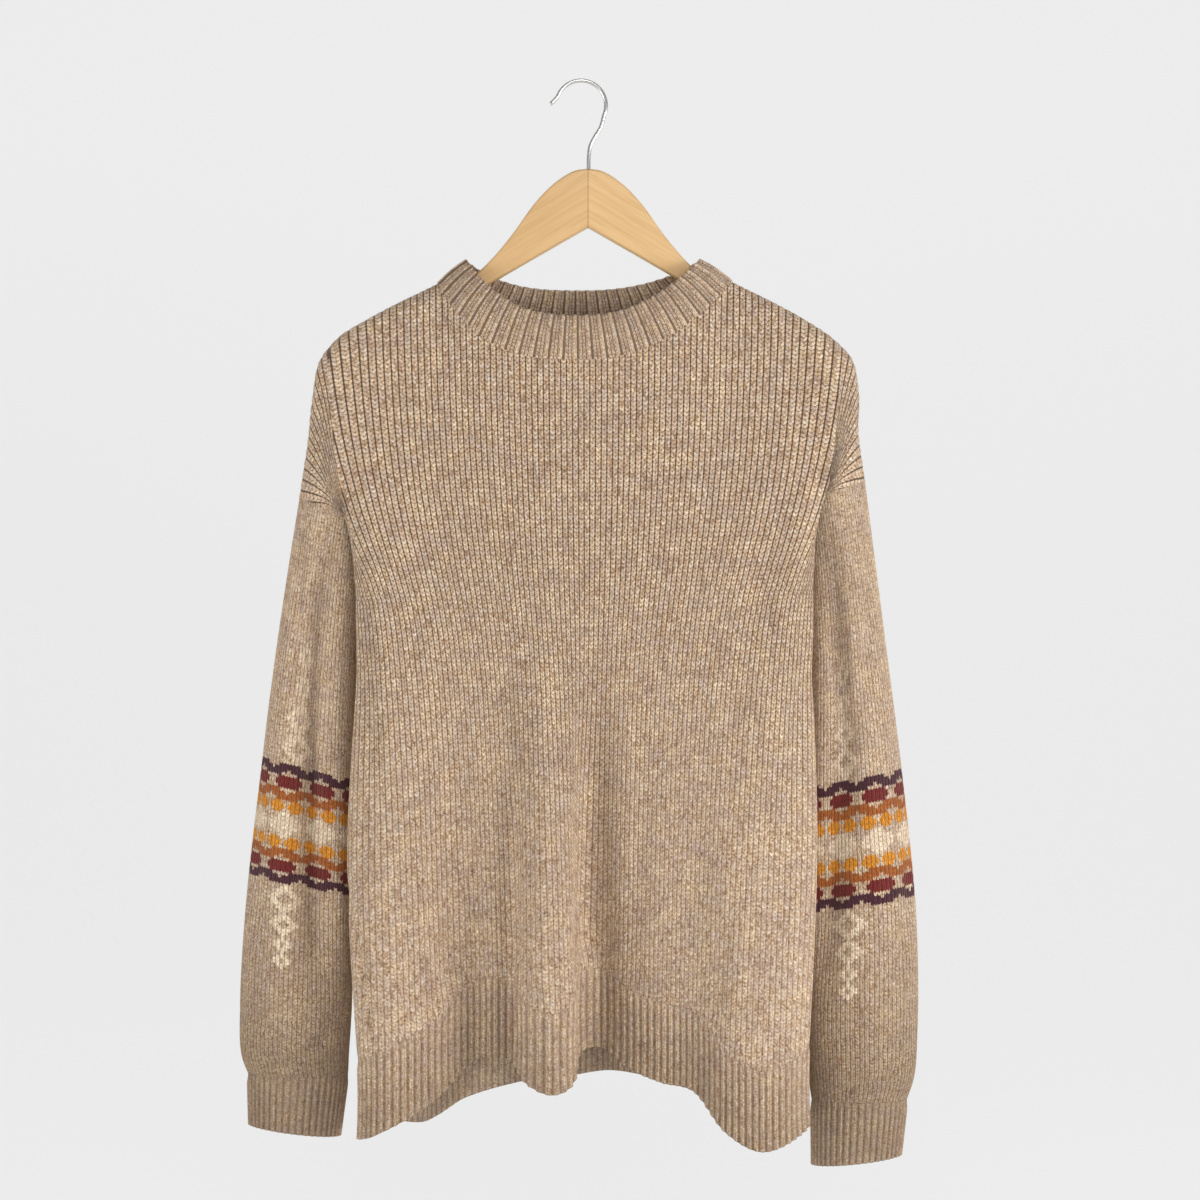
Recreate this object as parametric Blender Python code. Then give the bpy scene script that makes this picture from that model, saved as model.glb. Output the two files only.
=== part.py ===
"""A jacquard sweater on a wooden hanger with a wire hook, at its real size.

The origin is where the hook's inside rests on what holds it up. +X is to the right as seen from
the front, the front faces -Y and +Z is up. Tables and sizes are in millimetres, and meshes are
made in metres. Every cloth piece is a thin wall worked out as an outer grid of points, an inner
grid one wall thickness further in, and the rims between them. Neighbouring pieces share the
points of their seam and stand apart there by SEAM_GAP.
"""

import math

import bmesh
import bpy
import numpy as np

MM = 0.001

# Driving dimensions
WALL = 3.0
BAND_WALL = 4.0
SEAM_GAP = 0.34
ARMPIT_GAP = 0.6
HEM_RIB_HEIGHT = 62.0
RIB_RISE = 1.3
RIB_START = 0.3
CENTRE_X = 5.5
SHOULDER_SHARE = 0.345
SHOULDER_ROUND = 11.0
SHOULDER_ROUND_SHARE = 0.04
EDGE_REACH = 6.0

# Cells of the panels' grids. The sleeves, ribs and neckband take theirs from these.
SHOULDER_CELLS = 14
NECK_CELLS = 13
UPPER_ROWS = (0, 0.009, 0.026, 0.06, 0.12, 0.2, 0.3, 0.42, 0.55, 0.68, 0.8, 0.9, 1)
LOWER_CELLS = 8
SLEEVE_ROWS = (0, 0.035, 0.08, 0.14, 0.21, 0.3, 0.4, 0.52, 0.64, 0.76, 0.87, 0.95, 1)
HEM_SPLIT = 4
NECK_SPLIT = 4
CUFF_SPLIT = 3

# Hanger and hook
WOOD_THICK = 11.0
WOOD_ROUND = 2.5
HOOK_WIRE = 3.2
HOOK_RADIUS = 19.7
HOOK_HOLE_DEPTH = 16.0
HOOK_CLEARANCE = 0.35


def table(columns, *rows):
    return {name: np.array(values, float) for name, values in zip(columns, zip(*rows))}


# The upper edge of the body panels on each side, from the armhole over the hanger's tip to the
# neckband: how much of a panel's width lies outside each point, and where the point is.
SHOULDERS = {
    -1: table(
        ("share", "x", "z"),
        (0.000, -221.5, -328.0),
        (0.070, -214.5, -283.0),
        (0.124, -211.0, -249.0),
        (0.165, -205.5, -220.0),
        (0.200, -192.0, -202.6),
        (0.249, -168.0, -187.2),
        (0.345, -113.5, -159.5),
    ),
    1: table(
        ("share", "x", "z"),
        (0.000, 223.5, -315.0),
        (0.060, 218.0, -276.0),
        (0.110, 218.3, -244.0),
        (0.155, 212.5, -217.5),
        (0.190, 198.5, -202.6),
        (0.240, 175.5, -187.2),
        (0.345, 119.5, -158.0),
    ),
}

# Both edges of the neckband. Its loops dip by front and back between their ends at side_z.
NECK_SEAM = dict(
    left_x=-113.5, right_x=119.5, left_z=-159.5, right_z=-158.0, front_dip=62.0, back_dip=38.0,
    front_reach=29.0, back_reach=24.0, left_power=3.3, right_power=2.2,
)
NECK_EDGE = dict(
    left_x=-90.0, right_x=93.0, left_z=-140.5, right_z=-140.5, front_dip=45.5, back_dip=21.5,
    front_reach=23.0, back_reach=19.0, left_power=3.0, right_power=2.2,
)

# Each armhole seam: the outer end on top of the arm, the armpit, and how far it bows.
ARMHOLES = {
    -1: dict(out_x=-221.5, out_z=-328.0, pit_x=-171.0, pit_y=6.0, slope=17.0, drop=64.0, front=25.0, back=27.0),
    1: dict(out_x=223.5, out_z=-315.0, pit_x=176.0, pit_y=6.0, slope=15.0, drop=68.0, front=25.0, back=27.0),
}
ARMHOLE_DROP_POWER = 12

# The valley between the cap over each arm and the body, which falls straight from the hanger.
CREASES = {
    -1: dict(x=-181.0, top_z=-280.0, run=60.0, front_depth=13.0, back_depth=4.0, half_width=8.0),
    1: dict(x=186.5, top_z=-268.0, run=60.0, front_depth=13.0, back_depth=4.0, half_width=8.0),
}
CREASE_START_SHARE = 0.05

# The body's outline on plan at the armpits and at the lower edge, from left to right. Each row is
# a fold or the ground between two.
CHEST_FRONT = table(
    ("share", "x", "y", "z"),
    (0.030, -173.0, -12.0, -408.0),
    (0.058, -174.5, -27.0, -408.0),
    (0.100, -163.0, -38.0, -408.0),
    (0.250, -102.0, -43.0, -409.0),
    (0.500, 3.0, -46.0, -411.0),
    (0.750, 109.0, -44.0, -407.0),
    (0.900, 169.0, -38.0, -400.0),
    (0.942, 180.5, -27.0, -400.0),
    (0.970, 178.5, -12.0, -400.0),
)
CHEST_BACK = table(
    ("share", "x", "y", "z"),
    (0.040, -168.0, 21.0, -408.0),
    (0.090, -154.0, 32.0, -408.0),
    (0.250, -98.0, 37.0, -409.0),
    (0.500, 3.0, 38.0, -411.0),
    (0.750, 105.0, 37.0, -406.0),
    (0.910, 160.0, 32.0, -400.0),
    (0.960, 174.0, 21.0, -400.0),
)
HEM_FRONT = table(
    ("share", "x", "y", "z"),
    (0.000, -160.0, 11.0, -819.0),
    (0.045, -174.0, -13.0, -829.0),
    (0.095, -163.0, -41.0, -824.0),
    (0.160, -133.0, -44.0, -808.5),
    (0.220, -108.0, -27.0, -792.0),
    (0.265, -90.0, -13.0, -774.0),
    (0.315, -70.0, -21.0, -764.0),
    (0.355, -53.0, -21.0, -770.0),
    (0.390, -42.0, -43.0, -782.0),
    (0.425, -22.5, -58.0, -788.5),
    (0.462, -6.0, -44.0, -782.0),
    (0.497, -1.0, -15.0, -763.0),
    (0.535, 15.0, -3.0, -760.0),
    (0.585, 36.0, -14.0, -774.0),
    (0.645, 62.0, -25.0, -784.0),
    (0.710, 88.0, -33.0, -790.0),
    (0.780, 112.0, -48.0, -819.0),
    (0.845, 139.0, -53.0, -833.0),
    (0.910, 166.0, -41.0, -825.0),
    (0.955, 178.5, -15.0, -817.0),
    (1.000, 165.0, 11.0, -808.0),
)
HEM_BACK = table(
    ("share", "x", "y", "z"),
    (0.000, -160.0, 11.0, -819.0),
    (0.055, -150.0, 28.0, -823.0),
    (0.130, -125.0, 41.0, -826.0),
    (0.225, -90.0, 29.0, -804.0),
    (0.320, -52.0, 42.0, -795.0),
    (0.420, -14.0, 28.0, -788.0),
    (0.520, 24.0, 41.0, -785.0),
    (0.620, 64.0, 27.0, -790.0),
    (0.730, 104.0, 41.0, -806.0),
    (0.840, 136.0, 31.0, -812.0),
    (0.940, 156.0, 27.0, -808.0),
    (1.000, 165.0, 11.0, -808.0),
)
# How the side folds swell between the armpit and the lower edge.
SIDE_SWELL = {-1: 11.0, 1: 7.0}
SWELL_REACH = 0.15
SWELL_START = 0.045
FOLD_GROWTH = 1.1

# The sleeves' sections: how far down, their outer and inner edges, middle and half depth.
SLEEVES = {
    -1: table(
        ("share", "z", "out_x", "in_x", "y", "half_depth"),
        (0.00, -352.0, -226.5, -176.0, 7.0, 21.0),
        (0.12, -430.0, -239.0, -178.5, 10.0, 23.0),
        (0.35, -540.0, -253.0, -180.0, 12.0, 26.0),
        (0.60, -650.0, -265.5, -181.0, 13.0, 27.0),
        (0.80, -728.0, -270.0, -182.0, 13.0, 26.0),
        (0.94, -770.0, -268.5, -184.5, 13.0, 25.0),
        (1.00, -783.0, -263.5, -185.0, 12.0, 22.0),
    ),
    1: table(
        ("share", "z", "out_x", "in_x", "y", "half_depth"),
        (0.00, -342.0, 228.0, 181.0, 7.0, 21.0),
        (0.12, -424.0, 238.5, 183.5, 10.0, 23.0),
        (0.35, -540.0, 253.5, 180.0, 12.0, 26.0),
        (0.60, -660.0, 265.5, 178.5, 13.0, 27.0),
        (0.80, -745.0, 266.5, 178.0, 13.0, 26.0),
        (0.94, -789.0, 263.0, 181.0, 13.0, 25.0),
        (1.00, -803.0, 258.0, 183.0, 12.0, 22.0),
    ),
}
SLEEVE_BLEND = 0.3
CUFFS = {
    -1: dict(out_x=-262.5, in_x=-191.5, y=12.0, half_depth=21.0, out_z=-823.0, in_z=-832.0),
    1: dict(out_x=253.0, in_x=183.5, y=12.0, half_depth=21.0, out_z=-847.0, in_z=-855.0),
}

# The hanger's upper edge, as distances from its middle, and the straight V below it.
WOOD_TOP = table(
    ("reach", "z"),
    (0.0, -68.5),
    (10.0, -69.8),
    (22.0, -76.4),
    (34.0, -86.7),
    (45.0, -99.5),
    (57.0, -116.6),
    (70.0, -133.0),
    (86.0, -149.5),
    (119.0, -169.5),
    (146.0, -184.0),
    (174.0, -199.0),
    (192.0, -210.5),
    (201.0, -219.0),
)
WOOD_LOW_Z = -114.5
WOOD_LOW_SLOPE = 0.575
WOOD_TIP_Z = -228.0


def along(rows, share, names=("x", "y", "z")):
    """Smooth curves through a table's columns, at each share of the way."""
    knots = rows["share"]
    share = np.asarray(share, float)
    cell = np.clip(np.searchsorted(knots, share, side="right") - 1, 0, len(knots) - 2)
    step = knots[cell + 1] - knots[cell]
    t = (share - knots[cell]) / step
    curves = []
    for name in names:
        values = rows[name]
        slopes = np.gradient(values, knots)
        curves.append(
            (2 * t**3 - 3 * t**2 + 1) * values[cell]
            + (t**3 - 2 * t**2 + t) * step * slopes[cell]
            + (3 * t**2 - 2 * t**3) * values[cell + 1]
            + (t**3 - t**2) * step * slopes[cell + 1]
        )
    return np.stack(curves, -1)


def smooth(t):
    t = np.clip(t, 0, 1)
    return t * t * (3 - 2 * t)


def unit(vectors):
    return vectors / np.maximum(np.linalg.norm(vectors, axis=-1, keepdims=True), 1e-9)


def with_ends(rows, first, last):
    """A table with a first and a last row added at shares 0 and 1."""
    ends = dict(zip(("x", "y", "z"), zip(first, last)), share=(0.0, 1.0))
    return {name: np.concatenate([[ends[name][0]], rows[name], [ends[name][1]]]) for name in rows}


def armhole(side, angle):
    """The armhole seam. Angle 0 is on top of the arm, half a turn is the armpit, front first."""
    seam = ARMHOLES[side]
    t = (1 - np.cos(angle)) / 2
    bow = np.where(np.sin(angle) >= 0, seam["front"], seam["back"])
    x = seam["out_x"] + (seam["pit_x"] - seam["out_x"]) * t
    y = seam["pit_y"] * t - bow * np.sin(angle)
    z = seam["out_z"] - seam["slope"] * t - seam["drop"] * t**ARMHOLE_DROP_POWER
    return np.stack([x, y, z], -1)


def armhole_facing(side, angle):
    """Which way the cloth faces at the armhole seam: outwards above, down at the armpit."""
    outward = side * np.maximum(np.cos(angle), -0.15)
    down = -(((1 - np.cos(angle)) / 2) ** 4) * 1.4
    return unit(np.stack([outward, -np.sin(angle), down], -1))


def neck_loop(loop, t, front):
    """Half of a neckband edge, t from -1 at the left to 1 at the right."""
    half = (loop["right_x"] - loop["left_x"]) / 2
    x = (loop["right_x"] + loop["left_x"]) / 2 + half * t
    power = np.where(t < 0, loop["left_power"], loop["right_power"])
    side_z = loop["left_z"] + (loop["right_z"] - loop["left_z"]) * (t + 1) / 2
    hollow = 1 - np.abs(t) ** power
    z = side_z - loop["front_dip" if front else "back_dip"] * hollow
    reach = -loop["front_reach"] if front else loop["back_reach"]
    y = reach * np.sqrt(np.maximum(1 - t**6, 0))
    return np.stack([x, y, z], -1)


def neck_places(count, front):
    """Values of t that divide the neck seam into equal lengths."""
    fine = -np.cos(np.linspace(0, math.pi, 400))
    steps = np.linalg.norm(np.diff(neck_loop(NECK_SEAM, fine, front), axis=0), axis=1)
    length = np.concatenate([[0], np.cumsum(steps)])
    return np.interp(np.linspace(0, length[-1], count + 1), length, fine)


def column_shares():
    left = np.linspace(0, SHOULDER_SHARE, SHOULDER_CELLS + 1)
    neck = np.linspace(SHOULDER_SHARE, 1 - SHOULDER_SHARE, NECK_CELLS + 1)
    return np.concatenate([left, neck[1:], 1 - left[::-1][1:]])


def top_edge(share, front):
    """The panels' upper edge: left shoulder, neck seam, right shoulder."""
    places = neck_places(200, front)
    in_neck = (share - SHOULDER_SHARE) / (1 - 2 * SHOULDER_SHARE)
    t = np.interp(np.clip(in_neck, 0, 1), np.linspace(0, 1, len(places)), places)
    edge = neck_loop(NECK_SEAM, t, front)
    for side, own in ((-1, share), (1, 1 - share)):
        shoulder = own <= SHOULDER_SHARE
        edge[shoulder, 0::2] = along(SHOULDERS[side], own[shoulder], ("x", "z"))
        edge[shoulder, 1] = 0
    return edge


def upper_body(share, down, front):
    """The panel above the armpits. Down is 0 at the upper edge and 1 at the armpits."""
    chest = with_ends(
        CHEST_FRONT if front else CHEST_BACK, armhole(-1, math.pi), armhole(1, math.pi)
    )
    share, down = np.meshgrid(share, down)
    flat = share.ravel()
    top = top_edge(flat, front).reshape(share.shape + (3,))
    low = along(chest, flat).reshape(top.shape)
    turn = math.pi if front else -math.pi
    sides = 0
    for side, near in ((-1, 1 - share), (1, share)):
        ring_share = np.interp(down, UPPER_ROWS, np.linspace(0, 1, len(UPPER_ROWS)))
        ring = armhole(side, turn * ring_share)
        straight = armhole(side, np.zeros_like(down)) * (1 - down)[..., None]
        straight = straight + armhole(side, np.full_like(down, math.pi)) * down[..., None]
        sides = sides + (ring - straight) * (near**EDGE_REACH)[..., None]
    grid = top * (1 - down)[..., None] + low * down[..., None] + sides
    # The cloth goes over the arm in a round before it falls.
    fallen = np.linalg.norm(low - top, axis=-1) * down
    around = np.sqrt(1 - (1 - np.clip(fallen / SHOULDER_ROUND, 0, 1)) ** 2)
    beside = np.minimum(1, np.minimum(share, 1 - share) / SHOULDER_ROUND_SHARE)
    reach = np.maximum(SHOULDER_ROUND * beside - np.abs(top[..., 1]), 0) * around * (1 - down)
    inward = 1 if front else -1
    grid[..., 1] -= inward * reach
    depth_name = "front_depth" if front else "back_depth"
    for side, own in ((-1, share), (1, 1 - share)):
        crease = CREASES[side]
        deep = crease[depth_name] * smooth((crease["top_z"] - grid[..., 2]) / crease["run"])
        across = np.exp(-(((grid[..., 0] - crease["x"]) / crease["half_width"]) ** 2))
        grid[..., 1] += inward * deep * across * smooth(own / CREASE_START_SHARE)
    return grid


def hem_table(front):
    return HEM_FRONT if front else HEM_BACK


def lower_body(share, down, front):
    """The panel from the armpits, down 0, to the ribbed hem's seam, down 1."""
    chest = with_ends(
        CHEST_FRONT if front else CHEST_BACK, armhole(-1, math.pi), armhole(1, math.pi)
    )
    share, down = np.meshgrid(share, down)
    high = along(chest, share)
    low = along(hem_table(front), share)
    low[..., 2] += HEM_RIB_HEIGHT
    fold = (np.clip(down, 0, None) ** FOLD_GROWTH)[..., None]
    grid = high * (1 - fold) + low * fold
    grid[..., 2] = high[..., 2] + (low[..., 2] - high[..., 2]) * down
    swell = np.sin(math.pi * np.clip(down, 0, 1)) * smooth(down * 1.6)
    for side, own in ((-1, share), (1, 1 - share)):
        near_side = smooth(1 - own / SWELL_REACH) * (0.3 + 0.7 * smooth(own / SWELL_START))
        grid[..., 0] += side * SIDE_SWELL[side] * swell * near_side
    return grid


def facing(grid, outward):
    """Unit normals of a grid, turned to the side that outward points to at its middle."""
    down = np.gradient(grid, axis=0)
    across = np.gradient(grid, axis=1)
    normals = unit(np.cross(across, down))
    middle = tuple(size // 2 for size in grid.shape[:2])
    return normals if normals[middle] @ np.array(outward, float) > 0 else -normals


def ring_facing(grid):
    """Unit normals of a closed ring grid whose columns go round, pointing away from its middle."""
    down = np.gradient(grid, axis=0)
    across = np.roll(grid, -1, axis=1) - np.roll(grid, 1, axis=1)
    normals = unit(np.cross(across, down))
    from_middle = grid - grid.mean(axis=1, keepdims=True)
    return normals if (normals * from_middle).sum() > 0 else -normals


def away_from_edges(points, guide, first_row=False, last_row=False, sides=False):
    """Moves the seam edges of a grid half a gap towards the middle of their piece."""
    moved = points.copy()
    if first_row:
        moved[0] += SEAM_GAP / 2 * unit(guide[1] - guide[0])
    if last_row:
        moved[-1] += SEAM_GAP / 2 * unit(guide[-2] - guide[-1])
    if sides:
        moved[:, 0] += SEAM_GAP / 2 * unit(guide[:, 1] - guide[:, 0])
        moved[:, -1] += SEAM_GAP / 2 * unit(guide[:, -2] - guide[:, -1])
    return moved


def wall(name, outer, inner, closed, material):
    """A closed solid between two grids of points. Closed grids go all the way round."""
    rows, columns = outer.shape[:2]
    mesh = bpy.data.meshes.new(name)
    work = bmesh.new()
    skins = [
        [[work.verts.new(point * MM) for point in row] for row in grid] for grid in (outer, inner)
    ]
    across = columns if closed else columns - 1
    for row in range(rows - 1):
        for column in range(across):
            after = (column + 1) % columns
            for skin in skins:
                work.faces.new(
                    [skin[row][column], skin[row][after], skin[row + 1][after], skin[row + 1][column]]
                )
    rims = [(skins[0][row], skins[1][row], across) for row in (0, rows - 1)]
    if not closed:
        for column in (0, columns - 1):
            rims.append(([row[column] for row in skins[0]], [row[column] for row in skins[1]], rows - 1))
    for outside, inside, count in rims:
        for place in range(count):
            after = (place + 1) % len(outside)
            work.faces.new([outside[place], outside[after], inside[after], inside[place]])
    bmesh.ops.recalc_face_normals(work, faces=work.faces)
    work.to_mesh(mesh)
    work.free()
    mesh.shade_smooth()
    mesh.set_sharp_from_angle(angle=math.radians(30))
    mesh.materials.append(material)
    made = bpy.data.objects.new(name, mesh)
    PART.objects.link(made)
    return made


def split(grid, pieces, closed=False):
    """A grid with each column cell cut into equal pieces, along straight lines."""
    if closed:
        grid = np.concatenate([grid, grid[:, :1]], axis=1)
    columns = grid.shape[1]
    places = np.linspace(0, columns - 1, (columns - 1) * pieces + 1)
    cell = np.minimum(places.astype(int), columns - 2)
    t = (places - cell)[None, :, None]
    cut = grid[:, cell] * (1 - t) + grid[:, cell + 1] * t
    return cut[:, :-1] if closed else cut


def ribbed(outer, inner):
    """Raises every second column of a wall's outer points, less in the first row, at the seam."""
    rise = np.full(len(outer), RIB_RISE)
    rise[0] *= RIB_START
    raised = outer.copy()
    raised[:, 1::2] += rise[:, None, None] * unit(outer - inner)[:, 1::2]
    return raised


def panels(material):
    """Front and back panel grids, keyed by name: outer and inner points before the seam gaps."""
    share = column_shares()
    grids = {}
    for name, front in (("front_panel", True), ("back_panel", False)):
        upper = upper_body(share, np.array(UPPER_ROWS), front)
        lower = lower_body(share, np.linspace(0, 1, LOWER_CELLS + 1), front)
        outer = np.concatenate([upper[:-1], lower])
        grids[name] = [outer, facing(outer, (0, -1 if front else 1, 0))]
    front, back = grids["front_panel"], grids["back_panel"]
    pit = len(UPPER_ROWS) - 1
    for columns in (slice(0, SHOULDER_CELLS + 1), slice(-SHOULDER_CELLS - 1, None)):
        front[1][0, columns] = back[1][0, columns] = unit(front[1][0, columns] + back[1][0, columns])
    for column, side in ((0, -1), (-1, 1)):
        shared = unit(front[1][pit:, column] + back[1][pit:, column])
        front[1][pit:, column] = back[1][pit:, column] = shared
        for piece, turn in ((front, math.pi), (back, -math.pi)):
            piece[1][: pit + 1, column] = armhole_facing(side, turn * np.linspace(0, 1, pit + 1))
    for piece in (front, back):
        neck = slice(SHOULDER_CELLS + 1, SHOULDER_CELLS + NECK_CELLS)
        piece[1][0, neck] = neck_facing(piece[0][0, neck])
    made = {name: (outer, outer - WALL * normals) for name, (outer, normals) in grids.items()}
    for name, (outer, inner) in made.items():
        gaps = dict(first_row=True, last_row=True, sides=True)
        wall(name, away_from_edges(outer, outer, **gaps), away_from_edges(inner, outer, **gaps), False, material)
    return made


def neck_facing(points):
    """Which way the cloth faces at the neck seam: outwards and up."""
    forward = np.sign(points[:, 1:2])
    return unit(np.concatenate([0 * forward, forward, 0.35 + 0 * forward], axis=1))


def neckband(grids, material):
    """The ribbed band, from the panels' neck seam to its free edge."""
    neck = slice(SHOULDER_CELLS, SHOULDER_CELLS + NECK_CELLS + 1)
    seam = np.concatenate([grids["front_panel"][0][0, neck], grids["back_panel"][0][0, neck][::-1][1:-1]])
    edge = np.concatenate(
        [
            neck_loop(NECK_EDGE, neck_places(NECK_CELLS, True), True),
            neck_loop(NECK_EDGE, neck_places(NECK_CELLS, False), False)[::-1][1:-1],
        ]
    )
    middle = (seam + edge) / 2
    middle[:, 1] *= 1.06
    middle[:, 2] += 1.5
    outer = split(np.stack([seam, middle, edge]), NECK_SPLIT, closed=True)
    normals = ring_facing(outer)
    inner = outer - BAND_WALL * normals
    gaps = dict(first_row=True)
    wall(
        "neckband",
        away_from_edges(ribbed(outer, inner), outer, **gaps),
        away_from_edges(inner, outer, **gaps),
        True,
        material,
    )


def hem_ribs(grids, material):
    """The two ribbed hems, hung from the panels' lowest rows."""
    for name, panel, front in (
        ("hem_rib_front", "front_panel", True),
        ("hem_rib_back", "back_panel", False),
    ):
        drop = np.array([[0, 0, -SEAM_GAP / 2], [0, 0, -HEM_RIB_HEIGHT]])[:, None]
        skins = [grid[-1][None] + drop for grid in grids[panel]]
        skins = [away_from_edges(skin, skins[0], sides=True) for skin in skins]
        outer, inner = (split(skin, HEM_SPLIT) for skin in skins)
        wall(name, ribbed(outer, inner), inner, False, material)


def sleeve_grid(side, share, angle):
    """A sleeve from the armhole seam, share 0, to the cuff seam, share 1."""
    share, angle = np.meshgrid(share, angle, indexing="ij")
    z, out_x, in_x, y, half_depth = np.moveaxis(
        along(SLEEVES[side], share, ("z", "out_x", "in_x", "y", "half_depth")), -1, 0
    )
    t = (1 - np.cos(angle)) / 2
    section = np.stack([out_x + (in_x - out_x) * t, y - half_depth * np.sin(angle), z], -1)
    free = smooth(share / SLEEVE_BLEND)[..., None] ** 0.5
    return armhole(side, angle) * (1 - free) + section * free


def sleeve(side, name, cuff_name, cloth, rib_cloth):
    columns = 2 * (len(UPPER_ROWS) - 1)
    angle = np.linspace(0, 2 * math.pi, columns, endpoint=False)
    outer = sleeve_grid(side, np.array(SLEEVE_ROWS), angle)
    normals = ring_facing(outer)
    normals[0] = armhole_facing(side, angle)
    inner = outer - WALL * normals
    t = (1 - np.cos(angle)) / 2
    clear = np.array([side * ARMPIT_GAP, 0, -ARMPIT_GAP]) * (t**8)[:, None]
    gaps = dict(first_row=True, last_row=True)
    skins = [away_from_edges(grid, outer, **gaps) for grid in (outer, inner)]
    for skin in skins:
        skin[0] += clear
    wall(name, *skins, True, cloth)
    cuff = CUFFS[side]
    mouth = np.stack(
        [
            cuff["out_x"] + (cuff["in_x"] - cuff["out_x"]) * t,
            cuff["y"] - cuff["half_depth"] * np.sin(angle),
            cuff["out_z"] + (cuff["in_z"] - cuff["out_z"]) * t,
        ],
        -1,
    )
    mouth_inner = mouth - WALL * ring_facing(np.stack([outer[-1], mouth]))[1]
    cuff_outer = split(np.stack([outer[-1], mouth]), CUFF_SPLIT, closed=True)
    cuff_inner = split(np.stack([inner[-1], mouth_inner]), CUFF_SPLIT, closed=True)
    wall(
        cuff_name,
        away_from_edges(ribbed(cuff_outer, cuff_inner), cuff_outer, first_row=True),
        away_from_edges(cuff_inner, cuff_outer, first_row=True),
        True,
        rib_cloth,
    )


def hook_path():
    """The wire's middle line, from the tip round the top and down the stem, in the XZ plane."""
    middle_z = HOOK_WIRE / 2 - HOOK_RADIUS
    bend = np.radians(np.linspace(158, -22, 25))
    arc = np.stack([HOOK_RADIUS * np.cos(bend), middle_z + HOOK_RADIUS * np.sin(bend)], 1)
    tip = [(-24.6, -17.6), (-21.2, -14.2)]
    stem = [(15.3, -35.8), (10.8, -43.0), (7.4, -50.0), (6.2, -58.0), (6.0, -68.0)]
    return [*tip, *arc, *stem, (CENTRE_X + 0.5, WOOD_TOP["z"][0] - HOOK_HOLE_DEPTH)]


def hook(material):
    curve = bpy.data.curves.new("hook", "CURVE")
    curve.dimensions = "3D"
    curve.bevel_depth = HOOK_WIRE / 2 * MM
    curve.bevel_resolution = 2
    curve.use_fill_caps = True
    path = hook_path()
    spline = curve.splines.new("POLY")
    spline.points.add(len(path) - 1)
    for point, (x, z) in zip(spline.points, path):
        point.co = (x * MM, 0, z * MM, 1)
    curve.materials.append(material)
    PART.objects.link(bpy.data.objects.new("hook", curve))


def rounded_section(half_depth, low, high):
    """Eight points round one upright section of the wood, with its corners cut."""
    cut = min(WOOD_ROUND, (high - low) / 4)
    y, z = half_depth, cut
    return [
        (-y, low + z), (-y, high - z), (-y + cut, high), (y - cut, high),
        (y, high - z), (y, low + z), (y - cut, low), (-y + cut, low),
    ]


def hanger(material, cutter_material):
    """The two arms in one piece of wood, a loft of upright sections, with a hole for the hook."""
    mesh = bpy.data.meshes.new("hanger_wood")
    work = bmesh.new()
    sections = []
    reaches = [(-1, place) for place in range(len(WOOD_TOP["reach"]) - 1, 0, -1)]
    reaches += [(1, place) for place in range(len(WOOD_TOP["reach"]))]
    for side, place in reaches:
        reach = WOOD_TOP["reach"][place]
        high = WOOD_TOP["z"][place]
        low = max(WOOD_LOW_Z - WOOD_LOW_SLOPE * reach, WOOD_TIP_Z)
        x = CENTRE_X + side * reach
        points = rounded_section(WOOD_THICK / 2, low, high)
        sections.append([work.verts.new((x * MM, y * MM, z * MM)) for y, z in points])
    for before, after in zip(sections, sections[1:]):
        for place in range(len(before)):
            following = (place + 1) % len(before)
            work.faces.new([before[place], before[following], after[following], after[place]])
    work.faces.new(sections[0])
    work.faces.new(sections[-1])
    bmesh.ops.recalc_face_normals(work, faces=work.faces)
    work.to_mesh(mesh)
    work.free()
    mesh.shade_smooth()
    mesh.set_sharp_from_angle(angle=math.radians(30))
    mesh.materials.append(material)
    wood = bpy.data.objects.new("hanger_wood", mesh)
    PART.objects.link(wood)

    radius = (HOOK_WIRE / 2 + HOOK_CLEARANCE) * MM
    depth = HOOK_HOLE_DEPTH + HOOK_CLEARANCE
    bpy.ops.mesh.primitive_cylinder_add(
        vertices=16,
        radius=radius,
        depth=2 * depth * MM,
        location=((CENTRE_X + 0.5) * MM, 0, WOOD_TOP["z"][0] * MM),
    )
    hole = bpy.context.object
    hole.name = "hook_hole_cutter"
    hole.hide_render = True
    hole.display_type = "WIRE"
    hole.data.materials.append(cutter_material)
    for holder in hole.users_collection:
        holder.objects.unlink(hole)
    CUTTERS.objects.link(hole)
    cut = wood.modifiers.new("hook hole", "BOOLEAN")
    cut.object = hole


def material(name, colour, roughness, metallic=0.0):
    made = bpy.data.materials.new(name)
    made.use_nodes = True
    shader = made.node_tree.nodes["Principled BSDF"]
    shader.inputs["Base Color"].default_value = (*colour, 1)
    shader.inputs["Roughness"].default_value = roughness
    shader.inputs["Metallic"].default_value = metallic
    made.diffuse_color = (*colour, 1)
    return made


def main():
    body_cloth = material("taupe knit", (0.27, 0.235, 0.19), 0.95)
    sleeve_cloth = material("brown taupe knit", (0.2, 0.165, 0.13), 0.95)
    rib_cloth = material("taupe rib", (0.23, 0.2, 0.16), 0.95)
    maple = material("maple", (0.72, 0.55, 0.36), 0.45)
    steel = material("bright steel", (0.62, 0.62, 0.6), 0.25, 1.0)
    grids = panels(body_cloth)
    neckband(grids, rib_cloth)
    hem_ribs(grids, rib_cloth)
    sleeve(-1, "sleeve_left", "cuff_left", sleeve_cloth, rib_cloth)
    sleeve(1, "sleeve_right", "cuff_right", sleeve_cloth, rib_cloth)
    hanger(maple, steel)
    hook(steel)


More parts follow.
